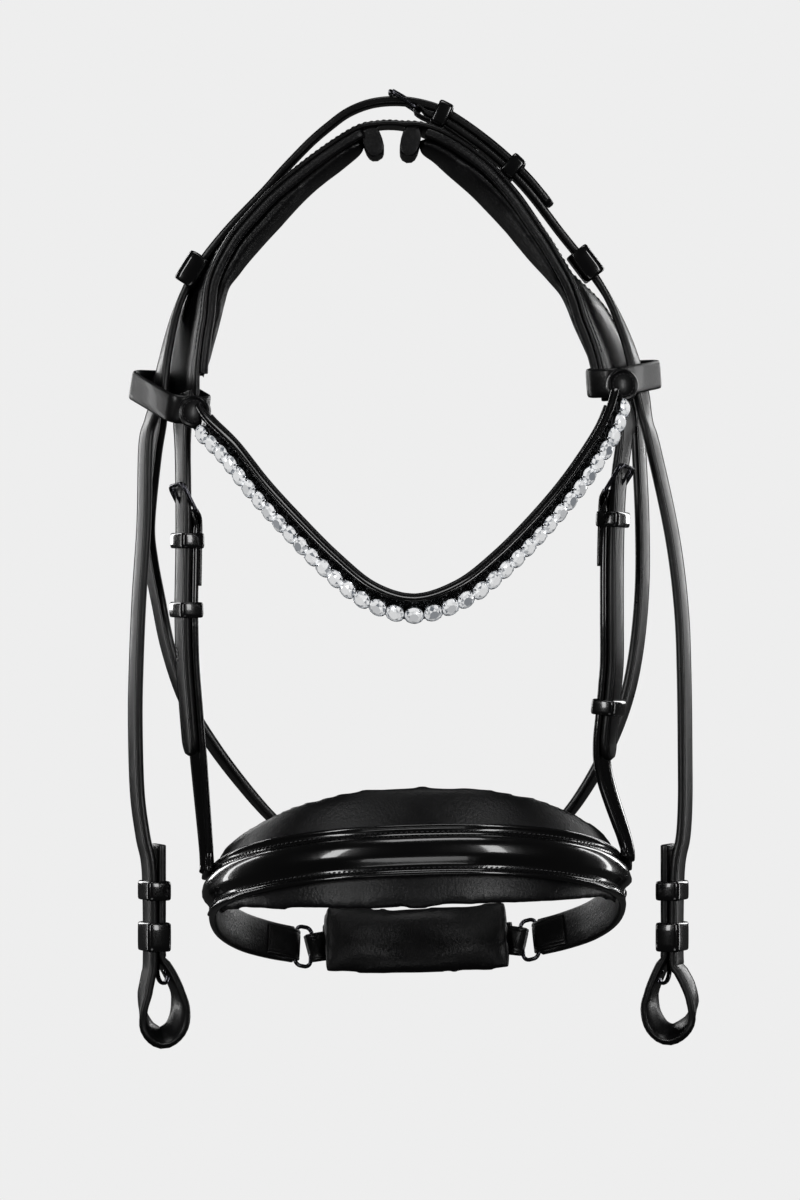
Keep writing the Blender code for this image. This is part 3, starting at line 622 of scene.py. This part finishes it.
# Crown: the wide strap under the cheek straps. Its edges are creased, and its ends turn into the browband loops.
CROWN_W = 39 * MM
CROWN_T = 3.0 * MM
CROWN = [
    *by_loop("left", (5.5, 2, -1.5), (7, 2, 17.5)),
    *place(
        (-117.6, 0, -99.5), (-110.8, 0, -78.7), (-96, 0, -58.4), (-76.2, 0, -38.4), (-55, 0, -20),
        (-33, 0, -4.5), (-20.7, 0, -0.5), (-8, 0, -0.5), (5.8, 0, -3.6), (20.3, 0, -13), (35.8, 0, -25.8),
        (50.5, 0, -41.6), (67.5, 0, -63.5), (82.1, 0, -81.3), (92.7, 0, -98.2),
    ),
    *by_loop("right", (-6.7, 2, 11), (-3, 2, -11)),
]
CROWN_FACES = directions(
    (-0.85, -0.53, 0), (-0.88, -0.46, 0.05), (-0.88, -0.45, 0.25), (-0.82, -0.22, 0.5), (-0.75, 0, 0.65),
    (-0.7, 0.08, 0.7), (-0.65, 0.04, 0.75), (-0.5, 0, 0.83), (-0.25, -0.04, 1), (0.1, -0.04, 1),
    (0.4, 0.06, 0.9), (0.55, 0.18, 0.8), (0.62, 0.24, 0.75), (0.72, 0.2, 0.65), (0.76, 0.1, 0.6),
    (0.8, -0.12, 0.5), (0.85, -0.38, 0.35), (0.88, -0.46, 0.1), (0.85, -0.53, 0),
)
crown = Route(CROWN, CROWN_FACES)
bm = bmesh.new()
swept(bm, crown, 0, crown.length, PLAIN, CROWN_W, CROWN_T)
for edge in (-1, 1):
    stitched(bm, crown, 26 * MM, crown.length - 26 * MM, edge * (CROWN_W / 2 - 3.4 * MM), CROWN_T / 2)
rode(finished("crown_strap", bm, BRIDLE, THREAD), "headpiece", "bridle_leather", "crown")

# Crown pads: foam in soft pebbled leather, sewn under the crown on each side of the poll. The top of each is
# turned over in a roll, and a fat welt runs along both its edges.
SIM_FRAMES = 20
SMOOTHINGS = 14
PAD_PITCH = 4 * MM


def puffed(name, bm, cap, finish, pressure=4.0, voxel=2.4):
    """Foam in leather: a slim shape is blown up by cloth pressure, no point of it further than the cap."""
    source = bpy.data.meshes.new(name)
    bmesh.ops.recalc_face_normals(bm, faces=bm.faces)
    bm.to_mesh(source)
    bm.free()
    source.materials.append(finish)
    piece = bpy.data.objects.new(name, source)
    scene.collection.objects.link(piece)
    piece.modifiers.new("even", "REMESH").voxel_size = voxel * MM
    piece.modifiers["even"].mode = "VOXEL"
    graph = bpy.context.evaluated_depsgraph_get()
    even = bpy.data.meshes.new_from_object(piece.evaluated_get(graph))
    piece.modifiers.clear()
    piece.data = even
    start = [v.co.copy() for v in even.vertices]
    cloth = piece.modifiers.new("cover", "CLOTH")
    cloth.settings.use_pressure = True
    cloth.settings.uniform_pressure_force = pressure
    cloth.settings.effector_weights.gravity = 0
    cloth.settings.quality = 5
    cloth.point_cache.frame_start, cloth.point_cache.frame_end = 1, SIM_FRAMES
    for step in range(1, SIM_FRAMES + 1):
        scene.frame_set(step)
    graph = bpy.context.evaluated_depsgraph_get()
    blown = bpy.data.meshes.new_from_object(piece.evaluated_get(graph))
    for vert, was in zip(blown.vertices, start):
        move = vert.co - was
        if move.length > cap:
            vert.co = was + move.normalized() * cap
    piece.modifiers.clear()
    piece.data = blown
    scene.frame_set(1)
    piece.data.name = name
    bm = bmesh.new()
    bm.from_mesh(piece.data)
    for _ in range(SMOOTHINGS):
        bmesh.ops.smooth_vert(bm, verts=bm.verts, factor=0.5, use_axis_x=True, use_axis_y=True, use_axis_z=True)
    bmesh.ops.subdivide_edges(bm, edges=bm.edges, cuts=1, use_grid_fill=True, smooth=0.6)
    bm.to_mesh(piece.data)
    bm.free()
    piece.data.materials.clear()
    piece.data.materials.append(finish)
    piece.data.polygons.foreach_set("use_smooth", [True] * len(piece.data.polygons))
    return piece


CUSHION = [(math.sin(math.tau * i / 16), math.cos(math.tau * i / 16)) for i in range(16)]
CUSHION = [(math.copysign(abs(a) ** 0.6, a), math.copysign(abs(b) ** 0.8, b)) for a, b in CUSHION]
PAD_W = 44 * MM
PAD_T = 7.5 * MM
PAD_END_T = 3 * MM
PAD_FOOT = 8 * MM
PAD_GAP = 3 * MM
PAD_SWELL = 1.6 * MM
PAD_TAPER = 25
WELT = (5.5 * MM, 5 * MM)
TOP_ROLL = (10 * MM, 16 * MM)
# How much thicker than PAD_T the stuffing is, in millimetres, from one end of the pad to the other.
STUFFING = {
    "left": (1, 1.5, 2, 2.5, 2.5, 2, 1, -0.5, -1, 0.5, 4),
    "right": (5, 1, -0.5, -2, -3, -3, -2.5, -1, 0, 0.5, 1),
}
pads = {
    "left": (PAD_FOOT, crown.crossing(0, -27)),
    "right": (crown.crossing(0, 0), crown.length - PAD_FOOT),
}
for side, (start, end) in pads.items():
    def share(m):
        return (m - start) / (end - start)

    def pad_wide(m):
        return PAD_W * (0.8 + 0.2 * math.sin(math.pi * min(max(share(m), 0), 1))) - 2 * PAD_SWELL

    def pad_thick(m):
        f = min(1, PAD_TAPER * share(m), PAD_TAPER * (1 - share(m)))
        return PAD_END_T + (PAD_T + max(stuffed(m), -1.5 * MM) - PAD_END_T) * max(f, 0) - PAD_SWELL

    def stuffed(m):
        f = min(max(share(m), 0), 0.999) * 10
        near, far = STUFFING[side][int(f)], STUFFING[side][int(f) + 1]
        return (near + (far - near) * (f % 1)) * MM

    def pad_lift(m):
        return -(CROWN_T + PAD_T + max(stuffed(m), -5 * MM)) / 2 - PAD_GAP + 0.8 * MM

    bm = bmesh.new()
    swept(bm, crown, start + PAD_SWELL, end - PAD_SWELL, CUSHION, pad_wide, pad_thick, pad_lift, pitch=PAD_PITCH)
    pad = puffed("crown_pad_" + side, bm, PAD_SWELL * 1.5, PADDED)
    rode(pad, "headpiece", "padded_leather", "pad_" + side)

    # The welt and the turned-over top, in the same leather.
    bm = bmesh.new()
    for edge in (-1, 1):
        swept(bm, crown, start + 6 * MM, end - 2 * MM, CUSHION, *WELT, lift=-(CROWN_T + 4 * MM) / 2,
              side=edge * (PAD_W / 2 - 5 * MM), pitch=PAD_PITCH, tip=5 * MM)
    mark = end if side == "left" else start
    spot, along, face = crown.at(mark)
    away = along if side == "left" else -along
    across = face.cross(along)
    middle = spot - face * 9 * MM + away * 1.5 * MM
    line = Route([middle - across * 17 * MM, middle, middle + across * 17 * MM], [face] * 3)
    swept(bm, line, 0, line.length, CUSHION, *TOP_ROLL, pitch=3 * MM, tip=6 * MM)
    welt = finished("crown_pad_welt_" + side, bm, PADDED)
    rode(welt, "headpiece", "padded_leather")

# Head loops: wide bands of patent leather that hold each cheek strap to the side of the crown. They stand
# well proud of it.
HEAD_LOOP_L = 17 * MM
HEAD_LOOP_PLAY = 2.2 * MM
HEAD_LOOPS = {"left": (-75.5, 1.5 * MM), "right": (-71, 0)}
for side, (height, lift) in HEAD_LOOPS.items():
    marks = [m for m in over_poll.marks if (over_poll.at(m)[0].x < 0) == (side == "left")]
    mark = min(marks, key=lambda m: abs(over_poll.at(m)[0].z - height * MM))
    room = (CHEEK_W + 2 * HEAD_LOOP_PLAY, STRAP_T + 2 * HEAD_LOOP_PLAY)
    bm = bmesh.new()
    ring(bm, over_poll.at(mark), room, loop_wall(KEEPER_T, HEAD_LOOP_L), corner=1.6 * MM, lift=lift)
    rode(finished("head_loop_wall_" + side, bm, PATENT), "headpiece", "patent_leather", "head_loop_" + side)

# Browband loops: the ends of the browband, in bridle leather, folded round the crown's end and the straps
# beside it.
BROW_LOOP_T = 2.4 * MM
BROW_LOOP_L = 15 * MM
BROW_LOOP_ROOM = (49 * MM, 20.5 * MM)
BROW_LOOP_TURN = math.radians(32)
BROW_LOOP_SLACK = 3.5 * MM
for side, sign, tilt in (("left", -1, 18), ("right", 1, 8)):
    out = Vector((sign * math.cos(BROW_LOOP_TURN), -math.sin(BROW_LOOP_TURN), 0))
    axis = Matrix.Rotation(sign * math.radians(tilt), 3, out) @ UP
    bm = bmesh.new()
    slack = BROW_LOOP_SLACK if side == "right" else 0
    room = (BROW_LOOP_ROOM[0], BROW_LOOP_ROOM[1] - slack)
    ring(bm, (LOOPS[side] - out * slack / 2, axis, out), room, loop_wall(BROW_LOOP_T, BROW_LOOP_L), corner=6 * MM)
    rode(finished("browband_end_" + side, bm, BRIDLE), "headpiece", "patent_leather", "browband_loop_" + side)

# Browband: patent leather over a soft lining, rolled along both edges, with a channel for the crystal chain
# in its lower half. A rounded ear at each end is sewn to the loop.
BROW_W = 13.4 * MM
BROW_LOW = 1.3 * MM
BROW_T = 3.0 * MM
BROW_PAD_T = 2.6 * MM
BROW_END = 10 * MM
BROWBAND = [
    *by_loop("left", (15.5, -26.5, -8.5), (21.5, -34.5, -16.5)),
    *place(
        (-94.5, -46, -170.5), (-79, -56, -190), (-61.5, -66, -209), (-42.5, -75, -228), (-23, -82, -243.5),
        (-1, -86, -249.5), (22, -82, -242), (41.5, -75, -227), (60, -66, -208.5), (77.5, -56, -188),
        (93, -46, -165.5),
    ),
    *by_loop("right", (-9.5, -37.5, -20), (-6.5, -32, -9)),
]
BROWBAND_FACES = directions(
    (-0.8, -0.6, -0.1), (-0.7, -0.65, -0.25), (-0.45, -0.75, -0.4), (-0.42, -0.75, -0.45),
    (-0.4, -0.75, -0.5), (-0.3, -0.78, -0.55), (-0.15, -0.8, -0.57), (0, -0.82, -0.57),
    (0.15, -0.8, -0.57), (0.3, -0.78, -0.55), (0.4, -0.75, -0.5), (0.42, -0.75, -0.45),
    (0.45, -0.75, -0.4), (0.7, -0.65, -0.2), (0.85, -0.5, -0.1),
)
browband = Route(BROWBAND, BROWBAND_FACES)
ROLLED = [
    (-1.0, 0.0), (-1.0, 0.9), (-0.96, 1.3), (-0.9, 1.4), (-0.83, 1.2), (-0.8, 0.95), (-0.6, 0.9), (-0.2, 0.9),
    (0.3, 0.9), (0.52, 0.9), (0.58, 1.2), (0.66, 1.6), (0.76, 1.85), (0.86, 1.8), (0.94, 1.4), (0.985, 0.8),
    (1.0, 0.3), (1.0, 0.0), *BACK,
]
bm = bmesh.new()
swept(bm, browband, 0, browband.length, ROLLED, BROW_W, BROW_T, side=-BROW_LOW)
rode(finished("browband_strap", bm, PATENT, THREAD), "headpiece", "patent_leather", "browband")
bm = bmesh.new()
swept(bm, browband, BROW_END, browband.length - BROW_END, CUSHION, BROW_W - 0.5 * MM, BROW_PAD_T,
      lift=-(BROW_T + BROW_PAD_T) / 2 + 0.2 * MM, side=-BROW_LOW)
rode(finished("browband_soft_lining", bm, PADDED), "headpiece", "padded_leather", "browband_lining")

# Crystal chain: foil-backed cut glass, each stone in a bright rhodium cup whose four claws hold its girdle.
# The stones are cut like brilliants. Each facet is painted its own fixed brightness, from pale grey to white, as
# painted glints, and the stones glow a little from emission in that colour, a painted glow.
# The emission, in the painted glint colour, is a painted glow: the stones are no lamp.
CRYSTAL, tree, shader = material("foiled_crystal_painted_glints", {
    "Roughness": 0.06, "Metallic": 0.0, "Coat Weight": 1.0, "Coat IOR": 1.6, "Emission Strength": 0.45,
})
painted_glint = node(tree, "Attribute", attribute_name="painted_glint")
shade = node(tree, "ValToRGB", {"Fac": painted_glint.outputs["Fac"]})
shade.color_ramp.elements[0].color = linear("70767E")
shade.color_ramp.elements[1].color = linear("FDFEFF")
shade.color_ramp.elements[0].position = 0.0
shade.color_ramp.elements[1].position = 0.45
tree.links.new(shade.outputs[0], shader.inputs["Base Color"])
tree.links.new(shade.outputs[0], shader.inputs["Emission Color"])
RHODIUM = plated("rhodium_plated_cups", "C9CCD0", 0.1, 0.24, 1200.0, 2.0)

STONES = 38
STONE_R = 4.55 * MM
STONE_H = 2.1 * MM
CRYSTAL_SIDE = 3.8 * MM
chain = (14 * MM, browband.length - 7 * MM)
stone = bmesh.new()
for count, radius, height, twist in ((16, 1.0, 0, 0), (16, 1.0, -0.18, 0), (8, 0.8, 0.62, 0.5), (8, 0.52, 1.0, 0)):
    for i in range(count):
        t = math.tau * (i + twist) / count
        stone.verts.new((radius * STONE_R * math.cos(t), radius * STONE_R * math.sin(t), height * STONE_H))
bmesh.ops.convex_hull(stone, input=stone.verts, use_existing_faces=False)
bmesh.ops.dissolve_limit(stone, angle_limit=math.radians(1), verts=stone.verts, edges=stone.edges)
cut = bpy.data.meshes.new("cut")
stone.to_mesh(cut)
stone.free()
cup = bmesh.new()
bmesh.ops.create_cone(cup, segments=20, radius1=STONE_R * 0.8, radius2=STONE_R * 1.06, depth=2.4 * MM, cap_ends=False)
bmesh.ops.translate(cup, verts=cup.verts, vec=(0, 0, -1.0 * MM))
bmesh.ops.solidify(cup, geom=cup.faces, thickness=-0.3 * MM)
for k in range(4):
    claw = Matrix.Rotation(math.tau * (k + 0.5) / 4, 4, "Z") @ Matrix.Translation((STONE_R * 1.0, 0, 0.3 * MM))
    tilt = Matrix.Rotation(math.radians(-32), 4, "Y") @ Matrix.Diagonal((0.45 * MM, 0.6 * MM, 1.3 * MM, 1))
    bmesh.ops.create_icosphere(cup, subdivisions=2, radius=1, matrix=claw @ tilt)
setting = bpy.data.meshes.new("setting")
cup.to_mesh(setting)
cup.free()
stones, cups = bmesh.new(), bmesh.new()
for i in range(STONES):
    mark = chain[0] + (chain[1] - chain[0]) * i / (STONES - 1)
    seat = turned(*browband.at(mark, BROW_T / 2 + 2.3 * MM, -CRYSTAL_SIDE))
    spun = Matrix.Rotation(math.tau * (i * 0.37 % 1), 4, "Z")
    for whole, shape, at in ((stones, cut, seat @ spun), (cups, setting, seat)):
        one = bmesh.new()
        one.from_mesh(shape)
        one.transform(at)
        joined(whole, one)
bpy.data.meshes.remove(cut)
bpy.data.meshes.remove(setting)
crystals = finished("crystal_stones", stones, CRYSTAL, smooth=1)
# A fixed random brightness for each facet: painted glints standing in for the light that cut stones throw back.
painted_glint = crystals.data.attributes.new("painted_glint", "FLOAT", "FACE")
painted_glint.data.foreach_set("value", [(i * 0.618034 + (i // 7) * 0.37) % 1 for i in range(len(crystals.data.polygons))])
rode(crystals, "headpiece", "crystal", "crystal_chain")
rode(finished("crystal_cups", cups, RHODIUM), "headpiece", "crystal")

# Browband ears: the band's rounded ends in bridle leather, domed and rimmed, sewn to the loops with a circle of
# stitches.
EAR_R = 8.5 * MM
EAR_T = 3.2 * MM
EAR_STITCHES = 17
EAR_PROFILE = [
    (0, -0.5), (0.96, -0.5), (1.0, -0.2), (1.0, 0.3), (0.96, 0.75), (0.88, 0.95), (0.8, 0.8), (0.74, 0.7),
    (0.5, 0.95), (0.25, 1.1), (0, 1.15),
]
EARS = {
    "left": (LOOPS["left"] + Vector((14.5, -26.5, -9)) * MM, Vector((-0.28, -0.95, 0.1))),
    "right": (LOOPS["right"] + Vector((-4, -29.5, -5)) * MM, Vector((0.28, -0.95, 0.08))),
}
for side, (spot, face) in EARS.items():
    face.normalize()
    along = face.cross(Vector((1, 0, 0))).normalized()
    bm = bmesh.new()
    loop = [bm.verts.new((EAR_R * x, 0, EAR_T * z)) for x, z in EAR_PROFILE]
    edges = [bm.edges.new(pair) for pair in zip(loop, loop[1:])]
    bmesh.ops.spin(
        bm, geom=loop + edges, cent=(0, 0, 0), axis=(0, 0, 1), angle=math.tau, steps=40, use_merge=True
    )
    bmesh.ops.remove_doubles(bm, verts=bm.verts, dist=0.01 * MM)
    row = bmesh.new()
    for i in range(EAR_STITCHES):
        t = math.tau * i / EAR_STITCHES
        at = Matrix.Translation((0.66 * EAR_R * math.cos(t), 0.66 * EAR_R * math.sin(t), EAR_T * 0.8))
        size = Matrix.Diagonal((THREAD_T / 2, STITCH * 0.3, THREAD_T / 2, 1))
        bmesh.ops.create_icosphere(row, subdivisions=1, radius=1, matrix=at @ Matrix.Rotation(t, 4, "Z") @ size)
    for stitch in row.faces:
        stitch.material_index = 1
    joined(bm, row)
    bm.transform(turned(spot, along, face))
    rode(finished("browband_ear_" + side, bm, BRIDLE, THREAD), "headpiece", "patent_leather")

# Noseband: a ring of patent leather with a domed swell between two stitched channels and beaded edges, on a
# wide crescent of soft padding that drops towards the chin.
NOSE_STRAP_W = 27 * MM
NOSE_TAIL_W = 20 * MM
NOSE_PAD_T = 8 * MM
NOSE_PAD_W = 74 * MM
NOSE_PAD_RISE = 3.5 * MM
NOSE_PAD_SIDE_W = 40 * MM
NOSE_PAD_ENDS = 0.2
NOSE_RAISED_ENDS = 0.22
NOSE_STITCH = 2.6 * MM
NOSE_HALF = (
    (35, -81, -373.5), (65, -69, -377), (88, -48, -383), (102, -22, -391), (106, 2, -400),
    (103, 26, -411), (93, 46, -420), (79, 59, -426), (66, 65, -429.5),
)
NOSE_TILT = 0.03
NOSE_ROWS = [(-x, y, z) for x, y, z in reversed(NOSE_HALF)] + [(0, -85, -372.5), *NOSE_HALF]
NOSE_LINE = place(*[(x, y, z + NOSE_TILT * x) for x, y, z in NOSE_ROWS])
NOSE_MIDDLE = Vector((0, -8, -401)) * MM
nose = Route(NOSE_LINE, [(spot - NOSE_MIDDLE).normalized() for spot in NOSE_LINE])
BEADED = [
    (-1.0, 0.0), (-1.0, 0.9), (-0.97, 1.35), (-0.91, 1.5), (-0.85, 1.35), (-0.82, 1.0), (-0.74, 0.9),
    (-0.6, 0.95), (-0.55, 1.25), (-0.5, 1.45), (-0.38, 2.2), (-0.16, 2.95), (0.1, 3.1), (0.32, 2.85), (0.48, 2.1),
    (0.54, 1.3), (0.6, 0.95), (0.74, 0.9), (0.82, 1.0), (0.85, 1.35), (0.91, 1.5), (0.97, 1.35), (1.0, 0.9),
    (1.0, 0.0), *BACK,
]


def nose_wide(m):
    f = m / nose.length
    return NOSE_TAIL_W + (NOSE_STRAP_W - NOSE_TAIL_W) * min(1, 3.2 * min(f, 1 - f))


def nose_pad_wide(m):
    f = min(max(m / nose.length, NOSE_PAD_ENDS), 1 - NOSE_PAD_ENDS)
    f = (f - NOSE_PAD_ENDS) / (1 - 2 * NOSE_PAD_ENDS)
    return NOSE_PAD_SIDE_W + (NOSE_PAD_W - NOSE_PAD_SIDE_W) * math.sin(math.pi * f) ** 1.2


bm = bmesh.new()
ends = nose.length * NOSE_RAISED_ENDS
swept(bm, nose, 0, ends + 5 * MM, PLAIN, nose_wide, STRAP_T)
swept(bm, nose, nose.length - ends - 5 * MM, nose.length, PLAIN, nose_wide, STRAP_T)
swept(bm, nose, ends - 12 * MM, nose.length - ends + 12 * MM, BEADED, nose_wide, STRAP_T, tip=16 * MM)
for side in (-1, 1):
    stitched(bm, nose, ends - 4 * MM, nose.length - ends + 4 * MM, side * 0.69 * NOSE_STRAP_W / 2,
             0.52 * STRAP_T, pitch=NOSE_STITCH)
# The back of the noseband is lined with the soft leather.
bmesh.ops.recalc_face_normals(bm, faces=bm.faces)
for part in bm.faces:
    middle = part.calc_center_median()
    nearest = min(nose.frames, key=lambda f: (f[0] - middle).length_squared)
    if part.normal.dot(nearest[2]) < -0.5:
        part.material_index = 2
rode(finished("noseband_strap", bm, PATENT, THREAD, PADDED), "noseband", "patent_leather", "noseband", "noseband_roll")

NOSE_SWELL = 1.8 * MM
pad_marks = (nose.length * NOSE_PAD_ENDS, nose.length * (1 - NOSE_PAD_ENDS))
bm = bmesh.new()
nose_in = -(STRAP_T + NOSE_PAD_T) / 2 - LAYER_GAP
swept(
    bm, nose, pad_marks[0] + NOSE_SWELL, pad_marks[1] - NOSE_SWELL, CUSHION,
    lambda m: nose_pad_wide(m) - 2 * NOSE_SWELL, NOSE_PAD_T - NOSE_SWELL, lift=nose_in + 1 * MM,
    side=NOSE_PAD_RISE, pitch=PAD_PITCH,
)
padding = puffed("noseband_pad", bm, NOSE_SWELL * 1.6, PADDED, pressure=5.0)
rode(padding, "noseband", "padded_leather", "noseband_padding")

# Hangers: the noseband's cheeks. A billet comes out of each browband loop, through a buckle, and the lower
# strap, raised over a cord between two creases, runs on to the side of the noseband.
HANGER_W = 16 * MM
HANGER_FOOT_Y = -14
HANGER_TOPS = {
    "left": by_loop("left", (11, -7, -11.5), (11.5, -12, -29.5), (12, -16, -54.5), (12, -16, -76.5)),
    "right": by_loop("right", (-5, -9, -21), (-6.5, -13, -36), (-9, -16, -54), (-10, -16, -73)),
}
HANGERS = {
    "left": place(
        (-116.8, -18, -237), (-117, -18, -253), (-116.5, -17, -278), (-115, -16, -299), (-112.5, -14, -330),
    ),
    "right": place(
        (98.5, -18, -229), (98.5, -18, -258), (98.5, -17, -280), (97, -16, -299), (95.5, -14, -332),
    ),
}
HANGER_MARKS = {"left": (43.5 * MM, 64.5 * MM), "right": (33.5 * MM, 53.5 * MM)}
HANGER_HEIGHTS = {"left": (-252, -327), "right": (-302, -330)}
HANGER_ABOVE = {"left": (10, -5, 2), "right": (-5, -7, -7)}
FOOT_OUT = 4.4 * MM
FOOT_LAP = 6 * MM
FOOT_RUN = 12 * MM
for side, sign in (("left", -1), ("right", 1)):
    mark = nose.crossing(1, HANGER_FOOT_Y)
    spot, along, face = nose.at(mark if side == "left" else nose.length - mark)
    foot = spot + face.cross(along) * (NOSE_STRAP_W / 2 - FOOT_LAP) + face * FOOT_OUT
    out = Vector((sign * math.cos(FACE_TURN), -math.sin(FACE_TURN), 0))
    loop_out = Vector((sign * math.cos(BROW_LOOP_TURN), -math.sin(BROW_LOOP_TURN), 0))
    down = HANGER_TOPS[side] + HANGERS[side]
    hanger = Route(
        down + [foot + face.cross(along) * FOOT_RUN, foot],
        [loop_out] + [out] * (len(down) - 1) + [face, face],
    )
    at_buckle, at_keeper = HANGER_MARKS[side]
    at_runner, at_tail = (hanger.crossing(2, z) for z in HANGER_HEIGHTS[side])
    name = "hanger_" + side
    low = buckled(
        name, hanger, HANGER_W, buckle=at_buckle, keeper=at_keeper, runner=at_runner,
        chape=hanger.length, body="noseband",
    )
    raised = max(at_keeper + 30 * MM, at_runner + 6 * MM)
    swept(low, hanger, raised, hanger.length - 1 * MM, RAISED, HANGER_W, STRAP_T, tip=7 * MM)
    # The foot runs down over the noseband's beaded edge, and is sewn to it.
    rode(finished(name + "_lower_strap", low, PATENT, THREAD), "noseband", "bridle_leather", name + "_strap")

    # The billet keeps its place in the loop, and is baked in place rather than attached to the noseband below it.
    marks = [m * MM for m in range(0, int(at_tail / MM), 8)] + [at_tail]
    spots = by_loop(side, HANGER_ABOVE[side]) + [hanger.at(m, LAYER)[0] for m in marks]
    line = Route(spots, [loop_out] + [hanger.at(m)[2] for m in marks], steps=3)
    bm = bmesh.new()
    swept(bm, line, 0, line.length, PLAIN, HANGER_W, STRAP_T, tip=9 * MM)
    hung(finished(name + "_billet_strap", bm, BRIDLE, THREAD), "noseband", "bridle_leather", name + "_billet")

# Throatlatch: one long creased strap that hangs as a U from both browband loops, behind the hangers.
THROAT_W = 14 * MM
THROATLATCH = [
    *by_loop("left", (-5, 14, 3), (-6, 17, -11.5), (-9, 18.5, -30.5)),
    *place(
        (-141, 19, -207), (-139.5, 19, -226), (-135.5, 17, -247), (-130, 15, -273), (-121, 15, -299.5),
        (-107.5, 15, -322), (-91, 15, -344), (-74, 15, -363), (-51, 15, -382.5), (-24.5, 15, -396), (1.5, 15, -400.5),
        (28, 15, -396.5), (54, 15, -382.5), (75, 15, -363.5), (88, 15, -346.5), (100, 15, -324.5),
        (109.5, 15, -299.5), (115, 15, -273), (118, 15, -240), (118, 15, -205),
    ),
    *by_loop("right", (7.5, 17, -40), (6.5, 17, -21), (5, 15, -4)),
]
THROAT_MIDDLE = Vector((-9, 15, -260)) * MM
throat_faces = []
for spot in THROATLATCH:
    away = spot - THROAT_MIDDLE if spot.z < THROAT_MIDDLE.z else Vector((spot.x - THROAT_MIDDLE.x, 0, 0))
    away.normalize()
    throat_faces.append((away - Vector((0, math.tan(FACE_TURN) * abs(away.x), 0))).normalized())
throat = Route(THROATLATCH, throat_faces)
bm = bmesh.new()
swept(bm, throat, 0, throat.length, PLAIN, THROAT_W, STRAP_T)
hung(finished("throatlatch_strap", bm, BRIDLE, THREAD), "throatlatch", "bridle_leather", "throatlatch")

# Chin: a stuffed pad, its strap and buckle behind it, and a wire ring on each end of the noseband.
CHIN_W = 16 * MM
CHIN_PAD_T = 9 * MM
CHIN_PAD_W = 45 * MM
RING_L = 7 * MM
TAB_DROP = 0.85
TAB_LAP = 2.7 * MM
CHIN = place((50, 73, -427), (25, 81, -430), (0, 84, -431), (-25, 81, -431), (-50, 73, -429))
chin = Route(CHIN, [Vector((x, 1, -0.3)).normalized() for x in (0.35, 0.15, 0, -0.15, -0.35)])
chin_bm = buckled(
    "chin", chin, CHIN_W, buckle=chin.crossing(0, 14), keeper=chin.crossing(0, -4),
    runner=chin.crossing(0, -18), chape=chin.length, body="noseband",
)
rode(finished("chin_lower_strap", chin_bm, BRIDLE, THREAD), "noseband", "bridle_leather", "chin_strap")
bm = bmesh.new()
swept(bm, chin, 0, chin.crossing(0, -34), PLAIN, CHIN_W, STRAP_T, lift=LAYER, tip=8 * MM)
rode(finished("chin_billet_strap", bm, BRIDLE), "noseband", "bridle_leather", "chin_billet")
CHIN_SWELL = 1.8 * MM
pad_lift = -(STRAP_T + CHIN_PAD_T) / 2 - KEEPER_PLAY - KEEPER_T - LAYER_GAP
cushion = Route(
    place((54.5, 71.6, -428), (25, 81, -431.5), (0, 84, -432.5), (-25, 81, -432.5), (-54.5, 71.6, -430)),
    [chin_frame[2] for chin_frame in chin.frames[::6]],
)
bm = bmesh.new()
swept(
    bm, cushion, CHIN_SWELL, cushion.length - CHIN_SWELL, CUSHION, CHIN_PAD_W - 2 * CHIN_SWELL,
    CHIN_PAD_T - CHIN_SWELL, lift=pad_lift, pitch=PAD_PITCH,
)
pad = puffed("chin_cushion", bm, CHIN_SWELL * 1.6, PADDED)
rode(pad, "noseband", "padded_leather", "chin_pad")
for side, sign in (("left", -1), ("right", 1)):
    spot, along, face = nose.at(0 if sign < 0 else nose.length)
    back = along * sign
    bm = bmesh.new()
    middle = spot + back * (RING_L / 2 + ROD + LAYER_GAP)
    ring(bm, (middle, face, back), (NOSE_TAIL_W, RING_L), wire(ROD), corner=2.5 * MM)
    rode(finished("chin_ring_wire_" + side, bm, STEEL), "chin_ring_" + side, "buckle_metal", "chin_ring_" + side)
    # A tab of the noseband's end is folded through the ring and sewn, and so is one of the chin strap's, which
    # starts lower than the strap's middle, level with the ring.
    near_bar = spot + back * (ROD / 2 + LAYER_GAP)
    far_bar = spot + back * (RING_L + ROD * 1.5 + LAYER_GAP)
    end = chin.at(chin.length if sign < 0 else 0)[0]
    end.z += (far_bar.z - end.z) * TAB_DROP
    towards = (far_bar - end).normalized()
    chin_face = towards.cross(face.cross(back)).normalized()
    tabs = (
        ("noseband_end_fold_", spot, near_bar, back, face, NOSE_TAIL_W - 3 * MM),
        ("chin_end_fold_", end, far_bar, towards, chin_face, CHIN_W - 1 * MM),
    )
    for name, root, bar, ahead, out, width in tabs:
        reach = (ROD + FOLD_T) / 2
        rows = [
            (root - ahead * 16 * MM - out * TAB_LAP, -out), (root - ahead * 6 * MM - out * TAB_LAP, -out),
            (bar - out * reach, -out), (bar + (ahead - out) * 0.7 * reach, ahead - out), (bar + ahead * reach, ahead),
            (bar + (ahead + out) * 0.7 * reach, ahead + out), (bar + out * reach, out),
            (root - ahead * 6 * MM + out * TAB_LAP, out), (root - ahead * 18 * MM + out * TAB_LAP, out),
        ]
        line = Route([r[0] for r in rows], [r[1].normalized() for r in rows])
        bm = bmesh.new()
        swept(bm, line, 0, line.length, PLAIN, width, FOLD_T)
        rode(finished(name + side, bm, BRIDLE), "noseband", "bridle_leather")
